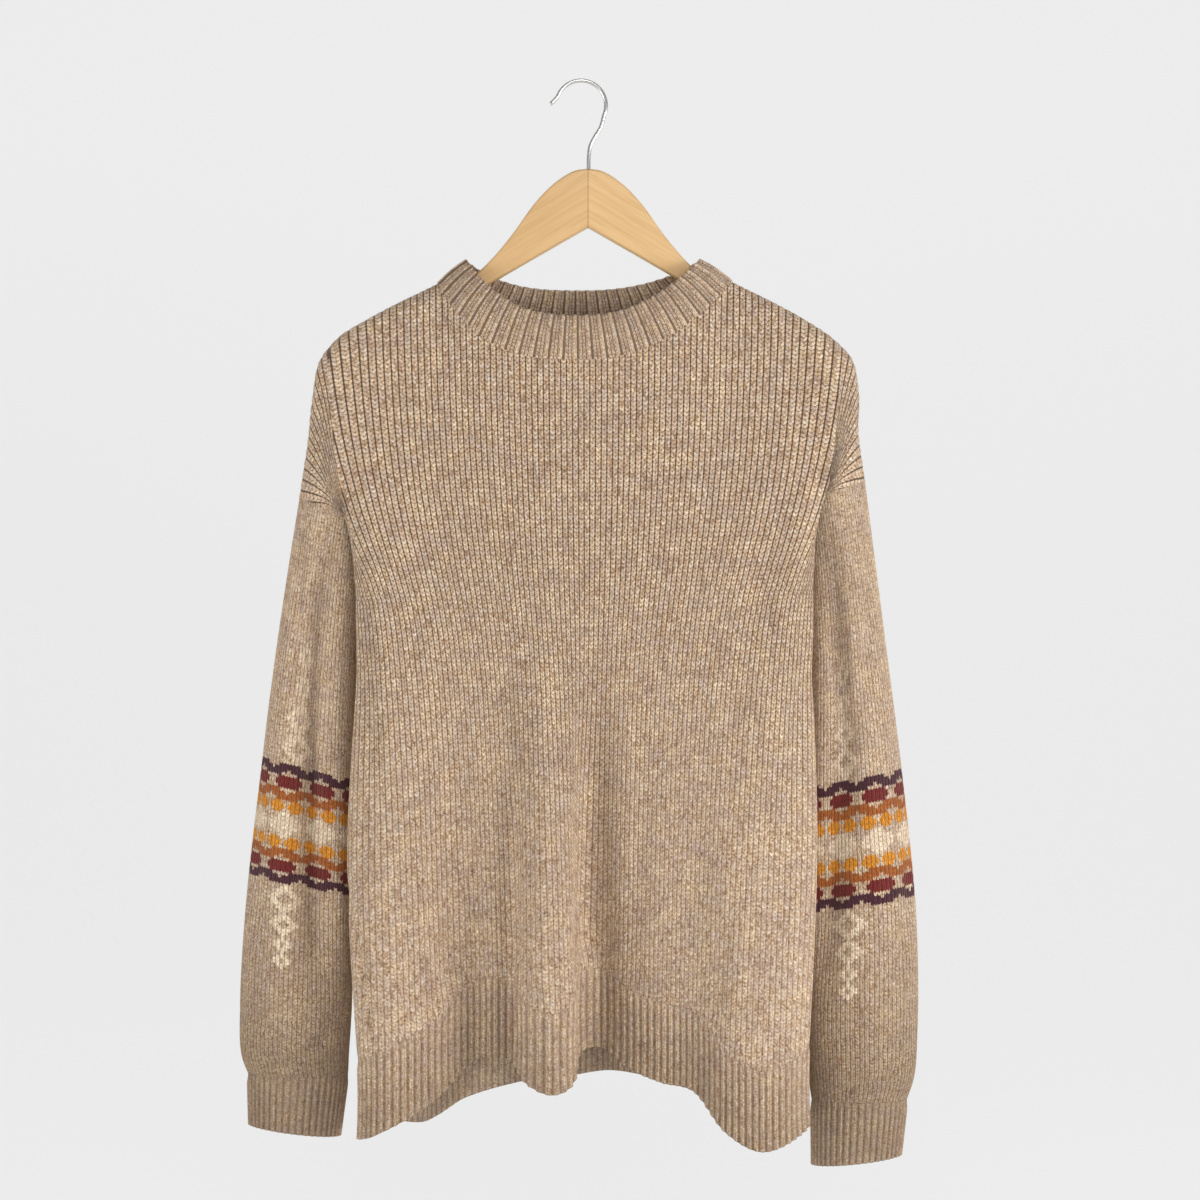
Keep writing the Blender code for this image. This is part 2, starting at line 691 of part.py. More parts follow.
for old in list(bpy.data.objects):
    bpy.data.objects.remove(old)
PART = bpy.data.collections.new("jacquard sweater on a wooden hanger")
CUTTERS = bpy.data.collections.new("cutters")
bpy.context.scene.collection.children.link(PART)
bpy.context.scene.collection.children.link(CUTTERS)
main()
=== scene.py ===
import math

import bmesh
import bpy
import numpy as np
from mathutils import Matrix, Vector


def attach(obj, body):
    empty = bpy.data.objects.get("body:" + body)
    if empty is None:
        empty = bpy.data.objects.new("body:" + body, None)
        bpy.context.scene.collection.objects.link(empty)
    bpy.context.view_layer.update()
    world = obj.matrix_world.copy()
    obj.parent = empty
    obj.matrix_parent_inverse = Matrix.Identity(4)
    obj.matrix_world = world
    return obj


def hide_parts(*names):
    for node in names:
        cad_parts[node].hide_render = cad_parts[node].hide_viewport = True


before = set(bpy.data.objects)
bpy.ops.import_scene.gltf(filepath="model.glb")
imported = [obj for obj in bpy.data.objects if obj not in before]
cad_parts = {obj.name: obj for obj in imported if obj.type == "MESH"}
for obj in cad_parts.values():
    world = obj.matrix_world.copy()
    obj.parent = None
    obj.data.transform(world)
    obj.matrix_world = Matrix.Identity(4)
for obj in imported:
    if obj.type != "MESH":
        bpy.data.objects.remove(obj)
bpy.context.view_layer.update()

# A jacquard sweater on a wooden hanger, dressed for rendering. Lengths in the tables are in
# millimetres, +X is to the right as seen from the front, the front faces -Y and +Z is up. The
# first part holds the forms of the CAD model: its tables and the surfaces worked out from them.
# The second part knits those surfaces: finer grids with ribs, wales and small creases in the
# mesh, and a UV map that counts wales and courses, which the yarn's materials read.

MM = 0.001

# ---- Forms of the CAD model ----

WALL = 3.0
BAND_WALL = 4.0
HEM_RIB_HEIGHT = 62.0
CENTRE_X = 5.5
SHOULDER_SHARE = 0.345
SHOULDER_ROUND = 11.0
SHOULDER_ROUND_SHARE = 0.04
EDGE_REACH = 6.0
UPPER_ROWS = (0, 0.009, 0.026, 0.06, 0.12, 0.2, 0.3, 0.42, 0.55, 0.68, 0.8, 0.9, 1)

WOOD_THICK = 11.0
HOOK_WIRE = 3.2
HOOK_RADIUS = 19.7
HOOK_HOLE_DEPTH = 16.0


def table(columns, *rows):
    """Rows of numbers, kept as one array for each named column."""
    return {name: np.array(values, float) for name, values in zip(columns, zip(*rows))}


def each_side(columns, left, right):
    """Named values for the left, side -1, and for the right, side 1."""
    return {-1: dict(zip(columns, left)), 1: dict(zip(columns, right))}


# The upper edge of the body panels on each side, from the armhole over the hanger's tip to the
# neckband: how much of a panel's width lies outside each point, and where the point is.
SHOULDERS = {
    -1: table(
        ("share", "x", "z"),
        (0, -221.5, -328),
        (0.07, -214.5, -283),
        (0.124, -211, -249),
        (0.165, -205.5, -220),
        (0.2, -192, -202.6),
        (0.249, -168, -187.2),
        (0.345, -113.5, -159.5),
    ),
    1: table(
        ("share", "x", "z"),
        (0, 223.5, -315),
        (0.06, 218, -276),
        (0.11, 218.3, -244),
        (0.155, 212.5, -217.5),
        (0.19, 198.5, -202.6),
        (0.24, 175.5, -187.2),
        (0.345, 119.5, -158),
    ),
}

# Both edges of the neckband: each is a loop with its ends at the left and the right, and how far
# it dips and reaches between them at the front and the back.
NECK_SIZES = (
    "left_x", "right_x", "left_z", "right_z", "front_dip", "back_dip",
    "front_reach", "back_reach", "left_power", "right_power",
)
NECK_SEAM = dict(zip(NECK_SIZES, (-113.5, 119.5, -159.5, -158, 62, 38, 29, 24, 3.3, 2.2)))
NECK_EDGE = dict(zip(NECK_SIZES, (-90, 93, -140.5, -140.5, 45.5, 21.5, 23, 19, 3, 2.2)))

# Each armhole seam: the outer end on top of the arm, the armpit, and how far it bows.
ARMHOLES = each_side(
    ("out_x", "out_z", "pit_x", "pit_y", "slope", "drop", "front", "back"),
    (-221.5, -328, -171, 6, 17, 64, 25, 27),
    (223.5, -315, 176, 6, 15, 68, 25, 27),
)
ARMHOLE_DROP_POWER = 12

# The valley between the cap over each arm and the body, which falls straight from the hanger.
CAP_VALLEYS = each_side(
    ("x", "top_z", "run", "front_depth", "back_depth", "half_width"),
    (-181, -280, 60, 13, 4, 8),
    (186.5, -268, 60, 13, 4, 8),
)
VALLEY_START_SHARE = 0.05

# The body's outline on plan at the armpits and at the lower edge, from left to right. Each row is
# a fold or the ground between two.
CHEST_FRONT = table(
    ("share", "x", "y", "z"),
    (0.03, -173, -12, -408),
    (0.058, -174.5, -27, -408),
    (0.1, -163, -38, -408),
    (0.25, -102, -43, -409),
    (0.5, 3, -46, -411),
    (0.75, 109, -44, -407),
    (0.9, 169, -38, -400),
    (0.942, 180.5, -27, -400),
    (0.97, 178.5, -12, -400),
)
CHEST_BACK = table(
    ("share", "x", "y", "z"),
    (0.04, -168, 21, -408),
    (0.09, -154, 32, -408),
    (0.25, -98, 37, -409),
    (0.5, 3, 38, -411),
    (0.75, 105, 37, -406),
    (0.91, 160, 32, -400),
    (0.96, 174, 21, -400),
)
HEM_FRONT = table(
    ("share", "x", "y", "z"),
    (0, -160, 11, -819),
    (0.045, -174, -13, -829),
    (0.095, -163, -41, -824),
    (0.16, -133, -44, -808.5),
    (0.22, -108, -27, -792),
    (0.265, -90, -13, -774),
    (0.315, -70, -21, -764),
    (0.355, -53, -21, -770),
    (0.39, -42, -43, -782),
    (0.425, -22.5, -58, -788.5),
    (0.462, -6, -44, -782),
    (0.497, -1, -15, -763),
    (0.535, 15, -3, -760),
    (0.585, 36, -14, -774),
    (0.645, 62, -25, -784),
    (0.71, 88, -33, -790),
    (0.78, 112, -48, -819),
    (0.845, 139, -53, -833),
    (0.91, 166, -41, -825),
    (0.955, 178.5, -15, -817),
    (1, 165, 11, -808),
)
HEM_BACK = table(
    ("share", "x", "y", "z"),
    (0, -160, 11, -819),
    (0.055, -150, 28, -823),
    (0.13, -125, 41, -826),
    (0.225, -90, 29, -804),
    (0.32, -52, 42, -795),
    (0.42, -14, 28, -788),
    (0.52, 24, 41, -785),
    (0.62, 64, 27, -790),
    (0.73, 104, 41, -806),
    (0.84, 136, 31, -812),
    (0.94, 156, 27, -808),
    (1, 165, 11, -808),
)
# How the side folds swell between the armpit and the lower edge.
SIDE_SWELL = {-1: 11.0, 1: 7.0}
SWELL_REACH = 0.15
SWELL_START = 0.045
FOLD_GROWTH = 1.1

# The sleeves' sections: how far down, their outer and inner edges, middle and half depth.
SLEEVES = {
    -1: table(
        ("share", "z", "out_x", "in_x", "y", "half_depth"),
        (0, -352, -226.5, -176, 7, 21),
        (0.12, -430, -239, -178.5, 10, 23),
        (0.35, -540, -253, -180, 12, 26),
        (0.6, -650, -265.5, -181, 13, 27),
        (0.8, -728, -270, -182, 13, 26),
        (0.94, -770, -268.5, -184.5, 13, 25),
        (1, -783, -263.5, -185, 12, 22),
    ),
    1: table(
        ("share", "z", "out_x", "in_x", "y", "half_depth"),
        (0, -342, 228, 181, 7, 21),
        (0.12, -424, 238.5, 183.5, 10, 23),
        (0.35, -540, 253.5, 180, 12, 26),
        (0.6, -660, 265.5, 178.5, 13, 27),
        (0.8, -745, 266.5, 178, 13, 26),
        (0.94, -789, 263, 181, 13, 25),
        (1, -803, 258, 183, 12, 22),
    ),
}
SLEEVE_BLEND = 0.3
# The cuffs' lower edges.
CUFFS = each_side(
    ("out_x", "in_x", "y", "half_depth", "out_z", "in_z"),
    (-262.5, -191.5, 12, 21, -823, -832),
    (253, 183.5, 12, 21, -847, -855),
)

# The hanger's upper edge, as distances from its middle, and the straight V below it.
WOOD_TOP = table(
    ("reach", "z"),
    (0, -68.5),
    (10, -69.8),
    (22, -76.4),
    (34, -86.7),
    (45, -99.5),
    (57, -116.6),
    (70, -133),
    (86, -149.5),
    (119, -169.5),
    (146, -184),
    (174, -199),
    (192, -210.5),
    (201, -219),
)
WOOD_LOW_Z = -114.5
WOOD_LOW_SLOPE = 0.575
WOOD_TIP_Z = -228.0


def along(rows, share, names=("x", "y", "z")):
    """Smooth curves through a table's columns, at each share of the way."""
    knots = rows["share"]
    share = np.asarray(share, float)
    cell = np.clip(np.searchsorted(knots, share, side="right") - 1, 0, len(knots) - 2)
    step = knots[cell + 1] - knots[cell]
    t = (share - knots[cell]) / step
    curves = []
    for name in names:
        values = rows[name]
        slopes = np.gradient(values, knots)
        curves.append(
            (2 * t**3 - 3 * t**2 + 1) * values[cell]
            + (t**3 - 2 * t**2 + t) * step * slopes[cell]
            + (3 * t**2 - 2 * t**3) * values[cell + 1]
            + (t**3 - t**2) * step * slopes[cell + 1]
        )
    return np.stack(curves, -1)


def shares(count):
    """Shares of the way from 0 to 1, at the ends of a count of equal steps."""
    return np.linspace(0, 1, count + 1)


def smooth(t):
    """0 below 0, 1 above 1, and a soft step between."""
    t = np.clip(t, 0, 1)
    return t * t * (3 - 2 * t)


def unit(vectors):
    return vectors / np.maximum(np.linalg.norm(vectors, axis=-1, keepdims=True), 1e-9)


def with_ends(rows, first, last):
    """A table with a first and a last row added at shares 0 and 1."""
    ends = dict(zip(("x", "y", "z"), zip(first, last)), share=(0.0, 1.0))
    return {name: np.concatenate([[ends[name][0]], rows[name], [ends[name][1]]]) for name in rows}


def armhole(side, angle):
    """The armhole seam. Angle 0 is on top of the arm, half a turn is the armpit, front first."""
    seam = ARMHOLES[side]
    t = (1 - np.cos(angle)) / 2
    bow = np.where(np.sin(angle) >= 0, seam["front"], seam["back"])
    x = seam["out_x"] + (seam["pit_x"] - seam["out_x"]) * t
    y = seam["pit_y"] * t - bow * np.sin(angle)
    z = seam["out_z"] - seam["slope"] * t - seam["drop"] * t**ARMHOLE_DROP_POWER
    return np.stack([x, y, z], -1)


def neck_loop(loop, t, front):
    """Half of a neckband edge, t from -1 at the left to 1 at the right."""
    half = (loop["right_x"] - loop["left_x"]) / 2
    x = (loop["right_x"] + loop["left_x"]) / 2 + half * t
    power = np.where(t < 0, loop["left_power"], loop["right_power"])
    side_z = loop["left_z"] + (loop["right_z"] - loop["left_z"]) * (t + 1) / 2
    hollow = 1 - np.abs(t) ** power
    z = side_z - loop["front_dip" if front else "back_dip"] * hollow
    reach = -loop["front_reach"] if front else loop["back_reach"]
    y = reach * np.sqrt(np.maximum(1 - t**6, 0))
    return np.stack([x, y, z], -1)


def neck_places(count, front):
    """Values of t that divide the neck seam into equal lengths."""
    fine = -np.cos(np.linspace(0, math.pi, 400))
    steps = np.linalg.norm(np.diff(neck_loop(NECK_SEAM, fine, front), axis=0), axis=1)
    length = np.concatenate([[0], np.cumsum(steps)])
    return np.interp(np.linspace(0, length[-1], count + 1), length, fine)


def top_edge(share, front):
    """The panels' upper edge: left shoulder, neck seam, right shoulder."""
    places = neck_places(200, front)
    in_neck = (share - SHOULDER_SHARE) / (1 - 2 * SHOULDER_SHARE)
    t = np.interp(np.clip(in_neck, 0, 1), np.linspace(0, 1, len(places)), places)
    edge = neck_loop(NECK_SEAM, t, front)
    for side, own in ((-1, share), (1, 1 - share)):
        shoulder = own <= SHOULDER_SHARE
        edge[shoulder, 0::2] = along(SHOULDERS[side], own[shoulder], ("x", "z"))
        edge[shoulder, 1] = 0
    return edge


def chest_line(front):
    """A panel's outline on plan at the armpits, with an armpit at each end."""
    rows = CHEST_FRONT if front else CHEST_BACK
    return with_ends(rows, armhole(-1, math.pi), armhole(1, math.pi))


def armhole_bows(share, down, front):
    """How far the armhole seams bow out of their straight lines, fading away from each."""
    turn = math.pi if front else -math.pi
    bows = 0
    for side, near in ((-1, 1 - share), (1, share)):
        ring_share = np.interp(down, UPPER_ROWS, shares(len(UPPER_ROWS) - 1))
        ring = armhole(side, turn * ring_share)
        straight = armhole(side, np.zeros_like(down)) * (1 - down)[..., None]
        straight = straight + armhole(side, np.full_like(down, math.pi)) * down[..., None]
        bows = bows + (ring - straight) * (near**EDGE_REACH)[..., None]
    return bows


def over_arm(top, low, share, down):
    """How far out the cloth goes over the arm, in a round before it falls."""
    fallen = np.linalg.norm(low - top, axis=-1) * down
    around = np.sqrt(1 - (1 - np.clip(fallen / SHOULDER_ROUND, 0, 1)) ** 2)
    beside = np.minimum(1, np.minimum(share, 1 - share) / SHOULDER_ROUND_SHARE)
    return np.maximum(SHOULDER_ROUND * beside - np.abs(top[..., 1]), 0) * around * (1 - down)


def upper_body(share, down, front):
    """The panel above the armpits. Down is 0 at the upper edge and 1 at the armpits."""
    share, down = np.meshgrid(share, down)
    flat = share.ravel()
    top = top_edge(flat, front).reshape(share.shape + (3,))
    low = along(chest_line(front), flat).reshape(top.shape)
    grid = top * (1 - down)[..., None] + low * down[..., None] + armhole_bows(share, down, front)
    inward = 1 if front else -1
    grid[..., 1] -= inward * over_arm(top, low, share, down)
    depth_name = "front_depth" if front else "back_depth"
    for side, own in ((-1, share), (1, 1 - share)):
        valley = CAP_VALLEYS[side]
        deep = valley[depth_name] * smooth((valley["top_z"] - grid[..., 2]) / valley["run"])
        across = np.exp(-(((grid[..., 0] - valley["x"]) / valley["half_width"]) ** 2))
        grid[..., 1] += inward * deep * across * smooth(own / VALLEY_START_SHARE)
    return grid


def lower_body(share, down, front):
    """The panel from the armpits, down 0, to the ribbed hem's seam, down 1."""
    share, down = np.meshgrid(share, down)
    high = along(chest_line(front), share)
    low = along(HEM_FRONT if front else HEM_BACK, share)
    low[..., 2] += HEM_RIB_HEIGHT
    fold = (np.clip(down, 0, None) ** FOLD_GROWTH)[..., None]
    grid = high * (1 - fold) + low * fold
    grid[..., 2] = high[..., 2] + (low[..., 2] - high[..., 2]) * down
    swell = np.sin(math.pi * np.clip(down, 0, 1)) * smooth(down * 1.6)
    for side, own in ((-1, share), (1, 1 - share)):
        near_side = smooth(1 - own / SWELL_REACH) * (0.3 + 0.7 * smooth(own / SWELL_START))
        grid[..., 0] += side * SIDE_SWELL[side] * swell * near_side
    return grid


def facing(grid, outward):
    """Unit normals of a grid, turned to the side that outward points to at its middle."""
    down = np.gradient(grid, axis=0)
    across = np.gradient(grid, axis=1)
    normals = unit(np.cross(across, down))
    middle = tuple(size // 2 for size in grid.shape[:2])
    return normals if normals[middle] @ np.array(outward, float) > 0 else -normals


def ring_facing(grid):
    """Unit normals of a closed ring grid whose columns go round, pointing away from its middle."""
    down = np.gradient(grid, axis=0)
    across = np.roll(grid, -1, axis=1) - np.roll(grid, 1, axis=1)
    normals = unit(np.cross(across, down))
    from_middle = grid - grid.mean(axis=1, keepdims=True)
    return normals if (normals * from_middle).sum() > 0 else -normals


def hook_path():
    """The wire's middle line, from the tip round the top and down the stem, in the XZ plane."""
    middle_z = HOOK_WIRE / 2 - HOOK_RADIUS
    bend = np.radians(np.linspace(158, -22, 25))
    arc = np.stack([HOOK_RADIUS * np.cos(bend), middle_z + HOOK_RADIUS * np.sin(bend)], 1)
    tip = [(-24.6, -17.6), (-21.2, -14.2)]
    stem = [(15.3, -35.8), (10.8, -43.0), (7.4, -50.0), (6.2, -58.0), (6.0, -68.0)]
    return [*tip, *arc, *stem, (CENTRE_X + 0.5, WOOD_TOP["z"][0] - HOOK_HOLE_DEPTH)]


# ---- Knitted surfaces ----

# Stitches and mesh columns of each piece. A wale is a column of stitches, a course is a row.
BODY_WALES = 110
BODY_COURSE = 3.5
COURSE_TIGHTENING = 0.00025
BODY_COLUMNS = 4
BODY_UPPER_ROWS = 84
UPPER_ROW_POWER = 1.3
DENSE_SHARES = 1200
BODY_LOWER_ROWS = 120
# From the chest up the wales spread out by this share in the end, most of it in this rise.
FAN = 0.19
FAN_RISE = 75
# They lie closer in the middle than at the sides, and more so down to the hem.
CHEST_SPREAD = -0.026
HEM_SPREAD = -0.14
SPREAD_REACH = 0.25
# The share of a panel's wales at each side that runs over the arm, their pitch at the chest, and
# how much closer they lie at the top.
SIDE_SHARE = 0.1
SIDE_PITCH = 4.5
CAP_CROWDING = 0.25
CROWDED_ABOVE = 0.75
CROWDING_RUN = 0.45
# Near the sides the wales fan out a little more.
EDGE_FAN = 0.0012
EDGE_FAN_RISE = 80
EDGE_FAN_REACH = 195
# How many columns and rows the turns at the neck and the chest are blurred over, and how many
# rows of the panel each blur takes to fade out
NECK_EASE = 14
CHEST_EASE = 9
NECK_EASE_ROWS = 30
CHEST_EASE_ROWS = 24
# A wale's section is a half sine to this power. The mesh has none of it where this many times
# the usual number of wales lie side by side.
WALE_POWER = 0.8
WALES_FOLLOWED = 1.7
SLEEVE_WALES = 96
SLEEVE_COURSES = 192
SLEEVE_COLUMNS = 3
# Stitches of the sleeve's cloth for each cell of its pattern, across and down
SLEEVE_WALE_SCALE = 0.75
SLEEVE_COURSE_SCALE = 0.65
STITCH_SLANT = 0.0024
SLANT_FADE = 0.02
NECK_RIBS = 52
NECK_COLUMNS = 8
NECK_ROWS = 20
NECK_COURSE = 2.6
HEM_RIBS = 82
HEM_COLUMNS = 6
HEM_ROWS = 28
HEM_COURSE = 2.4
HEM_START = 9.0
CUFF_RIBS = 42
CUFF_COLUMNS = 8
CUFF_ROWS = 24
CUFF_COURSE = 2.3

# Relief of the cloth above the surface of the CAD model, and how far the hems pull in
BODY_RISE = 0.8
SLEEVE_RISE = 0.35
NECK_RISE = 2.0
LINKING_RISE = 1.1
HEM_RISE = 1.8
CUFF_RISE = 1.5
HEM_PULL = 1.0

# The panels' creases fade out this near to a seam.
CREASE_FADE = 30.0
# Small creases on the panels: both ends, half the width and the depth. Below zero is a ridge.
PANEL_CREASES = {
    "front": (
        # x0, z0, x1, z1, half_width, depth
        (-168, -300, -120, -470, 13, 3),
        (-176, -420, -150, -640, 9, 2.4),
        (-150, -330, -96, -560, 17, 2.2),
        (-104, -500, -94, -830, 14, 4.6),
        (-56, -520, -50, -780, 7, 2.8),
        (-30, -470, -23, -860, 8, -3),
        (8, -430, 14, -840, 10, 7.6),
        (44, -470, 46, -722, 9, 1.8),
        (84, -380, 70, -560, 14, -1.6),
        (172, -300, 128, -450, 14, 2.8),
        (178, -430, 160, -600, 9, 2.2),
        (140, -350, 118, -600, 12, 1.8),
        (-30, -250, -80, -420, 18, 1.4),
        (40, -245, 96, -410, 20, 1.4),
        (112, -640, 100, -760, 8, 1.6),
        (-135, -610, -128, -770, 8, 1.8),
        (-186, -610, -148, -815, 1.8, 3.6),
    ),
    "back": (
        (-160, -290, -110, -480, 14, 2.6),
        (-120, -420, -88, -700, 12, 2.2),
        (-60, -380, -66, -640, 16, -1.8),
        (-20, -470, -12, -740, 9, 2.4),
        (36, -420, 28, -720, 12, 1.8),
        (92, -360, 70, -600, 15, 2),
        (164, -300, 118, -470, 13, 2.6),
        (140, -520, 128, -760, 10, 2.2),
        (-148, -560, -140, -770, 9, 1.6),
        (0, -230, 40, -380, 20, 1.2),
    ),
}
# Creases on the sleeves, with places as turns round the arm and shares of its length.
SLEEVE_CREASES = {
    -1: (
        # turn0, share0, turn1, share1, half_width, depth
        (0.288, 0.02, 0.285, 0.8, 13, 16),
        (0.12, 0.05, 0.3, 0.4, 7, 2.6),
        (0.34, 0.1, 0.24, 0.62, 8, 2.2),
        (0.05, 0.35, 0.16, 0.75, 6, 1.6),
        (0.4, 0.86, 0.1, 0.98, 4.5, 3.6),
        (0.08, 0.8, 0.3, 0.9, 6, 1.8),
        (0.66, 0.1, 0.8, 0.52, 8, 2.4),
        (0.9, 0.45, 0.74, 0.9, 7, 2),
        (0.6, 0.88, 0.86, 0.98, 6, 2.6),
    ),
    1: (
        (0.345, 0.02, 0.33, 0.78, 15, 9),
        (0.1, 0.06, 0.28, 0.36, 7, 2.4),
        (0.33, 0.14, 0.22, 0.66, 8, 2.4),
        (0.06, 0.45, 0.18, 0.8, 6, 1.6),
        (0.1, 0.88, 0.36, 0.98, 4.5, 3),
        (0.32, 0.76, 0.14, 0.88, 6, 1.8),
        (0.68, 0.12, 0.82, 0.5, 8, 2.2),
        (0.88, 0.5, 0.72, 0.88, 7, 2),
        (0.84, 0.9, 0.62, 0.99, 6, 2.4),
    ),
}
SLEEVE_GIRTH = 225.0
SLEEVE_LENGTH = 445.0
CREASE_ENDS = 0.3
CREASE_SWAY = 0.4
CREASE_BENDS = 5


def solid_object(mesh, material):
    """The object of a closed mesh, with its faces turned outwards."""
    work = bmesh.new()
    work.from_mesh(mesh)
    bmesh.ops.recalc_face_normals(work, faces=work.faces)
    work.to_mesh(mesh)
    work.free()
    mesh.shade_smooth()
    mesh.materials.append(material)
    made = bpy.data.objects.new(mesh.name, mesh)
    DRESSED.objects.link(made)
    return made


def skin_faces(numbers, mark):
    """The faces of one grid of points, and the wale and course at each of their corners."""
    here, after = slice(None, -1), slice(1, None)
    corners = ((here, here), (here, after), (after, after), (after, here))
    faces = np.stack([numbers[corner] for corner in corners], -1).reshape(-1, 4)
    return faces.tolist(), np.stack([mark[corner] for corner in corners], -2).reshape(-1, 2)


def sheet_mesh(name, skins, marks, closed, cloth, tints=None):
    """A closed shell between a fine outer grid and a coarse inner one. The UV map called knit
    holds the wale and the course of each corner, and yarn the colour of each outer stitch."""
    numbers = point_numbers(skins, closed)
    faces, corner_marks = [], []
    for skin_numbers, mark in zip(numbers, marks):
        own_faces, own_marks = skin_faces(skin_numbers, mark)
        faces += own_faces
        corner_marks.append(own_marks)
    outer_corners = len(corner_marks[0])
    rims, rim_marks = rim_faces(numbers, marks[0], closed)
    mesh = bpy.data.meshes.new(name)
    points = np.concatenate([grid.reshape(-1, 3) for grid in skins]) * MM
    mesh.from_pydata(points.tolist(), [], faces + rims)
    flat_marks = np.concatenate([*corner_marks, np.array(rim_marks)]).astype(np.float32)
    mesh.uv_layers.new(name="knit").data.foreach_set("uv", flat_marks.ravel())
    if tints is not None:
        colours = np.zeros((len(flat_marks), 4), np.float32)
        colours[:outer_corners] = np.repeat(tints.reshape(-1, 4), 4, axis=0)
        paint = mesh.color_attributes.new("yarn", "FLOAT_COLOR", "CORNER")
        paint.data.foreach_set("color", colours.ravel())
    return solid_object(mesh, cloth)


def point_numbers(skins, closed):
    """The number of each point of the grids, with the first column again where they close."""
    numbers, start = [], 0
    for grid in skins:
        count = grid.shape[0] * grid.shape[1]
        own = np.arange(start, start + count).reshape(grid.shape[:2])
        numbers.append(np.concatenate([own, own[:, :1]], axis=1) if closed else own)
        start += count
    return numbers


def rim_faces(numbers, mark, closed):
    """Faces between the edges of two grids, where each inner cell spans whole outer cells."""
    edges = [(row, slice(None)) for row in (0, -1)]
    if not closed:
        edges += [(slice(None), column) for column in (0, -1)]
    faces, corner_marks = [], []
    for edge in edges:
        outer, inner = (layer[edge].tolist() for layer in numbers)
        ratio = (len(outer) - 1) // (len(inner) - 1)
        for cell in range(len(inner) - 1):
            places = list(range(cell * ratio, (cell + 1) * ratio + 1))
            faces.append([outer[place] for place in places] + [inner[cell + 1], inner[cell]])
            corner_marks += [mark[edge][place] for place in places + [places[-1], places[0]]]
    return faces, corner_marks


def creases(places, lines, scale=(1.0, 1.0)):
    """How far the listed creases push in each point. They fade out at both ends, and sway."""
    scale = np.array(scale)
    depth = np.zeros(places.shape[:-1])
    for x0, z0, x1, z1, half_width, deep in lines:
        start = np.array([x0, z0]) * scale
        run = np.array([x1, z1]) * scale - start
        length = np.linalg.norm(run)
        offset = places * scale - start
        t = (offset @ run) / length**2
        across = (offset[..., 0] * run[1] - offset[..., 1] * run[0]) / length
        across = across + half_width * CREASE_SWAY * np.sin(t * CREASE_BENDS + x0)
        ends = smooth(t / CREASE_ENDS) * smooth((1 - t) / CREASE_ENDS)
        depth += deep * ends * np.exp(-((across / half_width) ** 2))
    return depth


def ribs(count, columns, closed):
    """How far each mesh column of ribbing stands out, 0 between ribs and 1 on them."""
    steps = np.arange(count * columns + (not closed))
    return 0.5 - 0.5 * np.cos(2 * math.pi * steps / columns)


def knit(
    name, outer, normals, relief, pushed, marks, closed, cloth, columns, rows, wall=WALL, tints=None
):
    """One piece of knitwear from its smooth surface: relief stands out and creases go in. Its
    inner skin takes every so many columns and rows of the outer one."""
    surface = outer - normals * pushed[..., None]
    proud = surface + normals * relief[..., None]
    inside = (surface - normals * wall)[::rows, ::columns]
    mark = [marks, marks[::rows, ::columns]]
    return sheet_mesh(name, [proud, inside], mark, closed, cloth, tints)


def lengths_down(grid, zero_row):
    """Distance of each point down its column, from one row."""
    steps = np.linalg.norm(np.diff(grid, axis=0), axis=-1)
    total = np.concatenate([np.zeros((1, grid.shape[1])), np.cumsum(steps, axis=0)])
    return total - total[zero_row]


def spread(share, amount):
    """Moves shares outwards from the middle, but not those at the sides."""
    from_middle = 2 * share - 1
    return 0.5 + 0.5 * from_middle * (1 + amount * (1 - from_middle**2))


def chest_wale(x, front):
    """The wale at a place across the chest. Beyond the side folds the wales run on evenly."""
    share = np.linspace(SIDE_SHARE, 1 - SIDE_SHARE, 81)
    places = along(chest_line(front), spread(share, CHEST_SPREAD), ("x",))[:, 0]
    inside = np.interp(x, places, share * BODY_WALES)
    left = np.minimum(x - places[0], 0) / SIDE_PITCH
    right = np.maximum(x - places[-1], 0) / SIDE_PITCH
    return inside + left + right


def panel_wales(surface, down, dense, front):
    """The wale at each point of the panel above the armpits, and how much further it leans."""
    from_centre = surface[..., 0] - CENTRE_X
    risen = np.maximum(surface[..., 2] - surface[-1, DENSE_SHARES // 2, 2], 0)
    fanned = FAN * (1 - np.exp(-risen / FAN_RISE))
    by_place = chest_wale(CENTRE_X + from_centre * (1 - fanned), front)
    edge_fanned = EDGE_FAN * risen / (1 + risen / EDGE_FAN_RISE) * (from_centre / EDGE_FAN_REACH) ** 4
    further = chest_wale(CENTRE_X + from_centre * (1 - fanned - edge_fanned), front)
    lowering = smooth((down - 0.8) / 0.2)[:, None]
    by_share = BODY_WALES * np.interp(dense, spread(dense, CHEST_SPREAD), dense)
    return by_place * (1 - lowering) + by_share * lowering, further - by_place


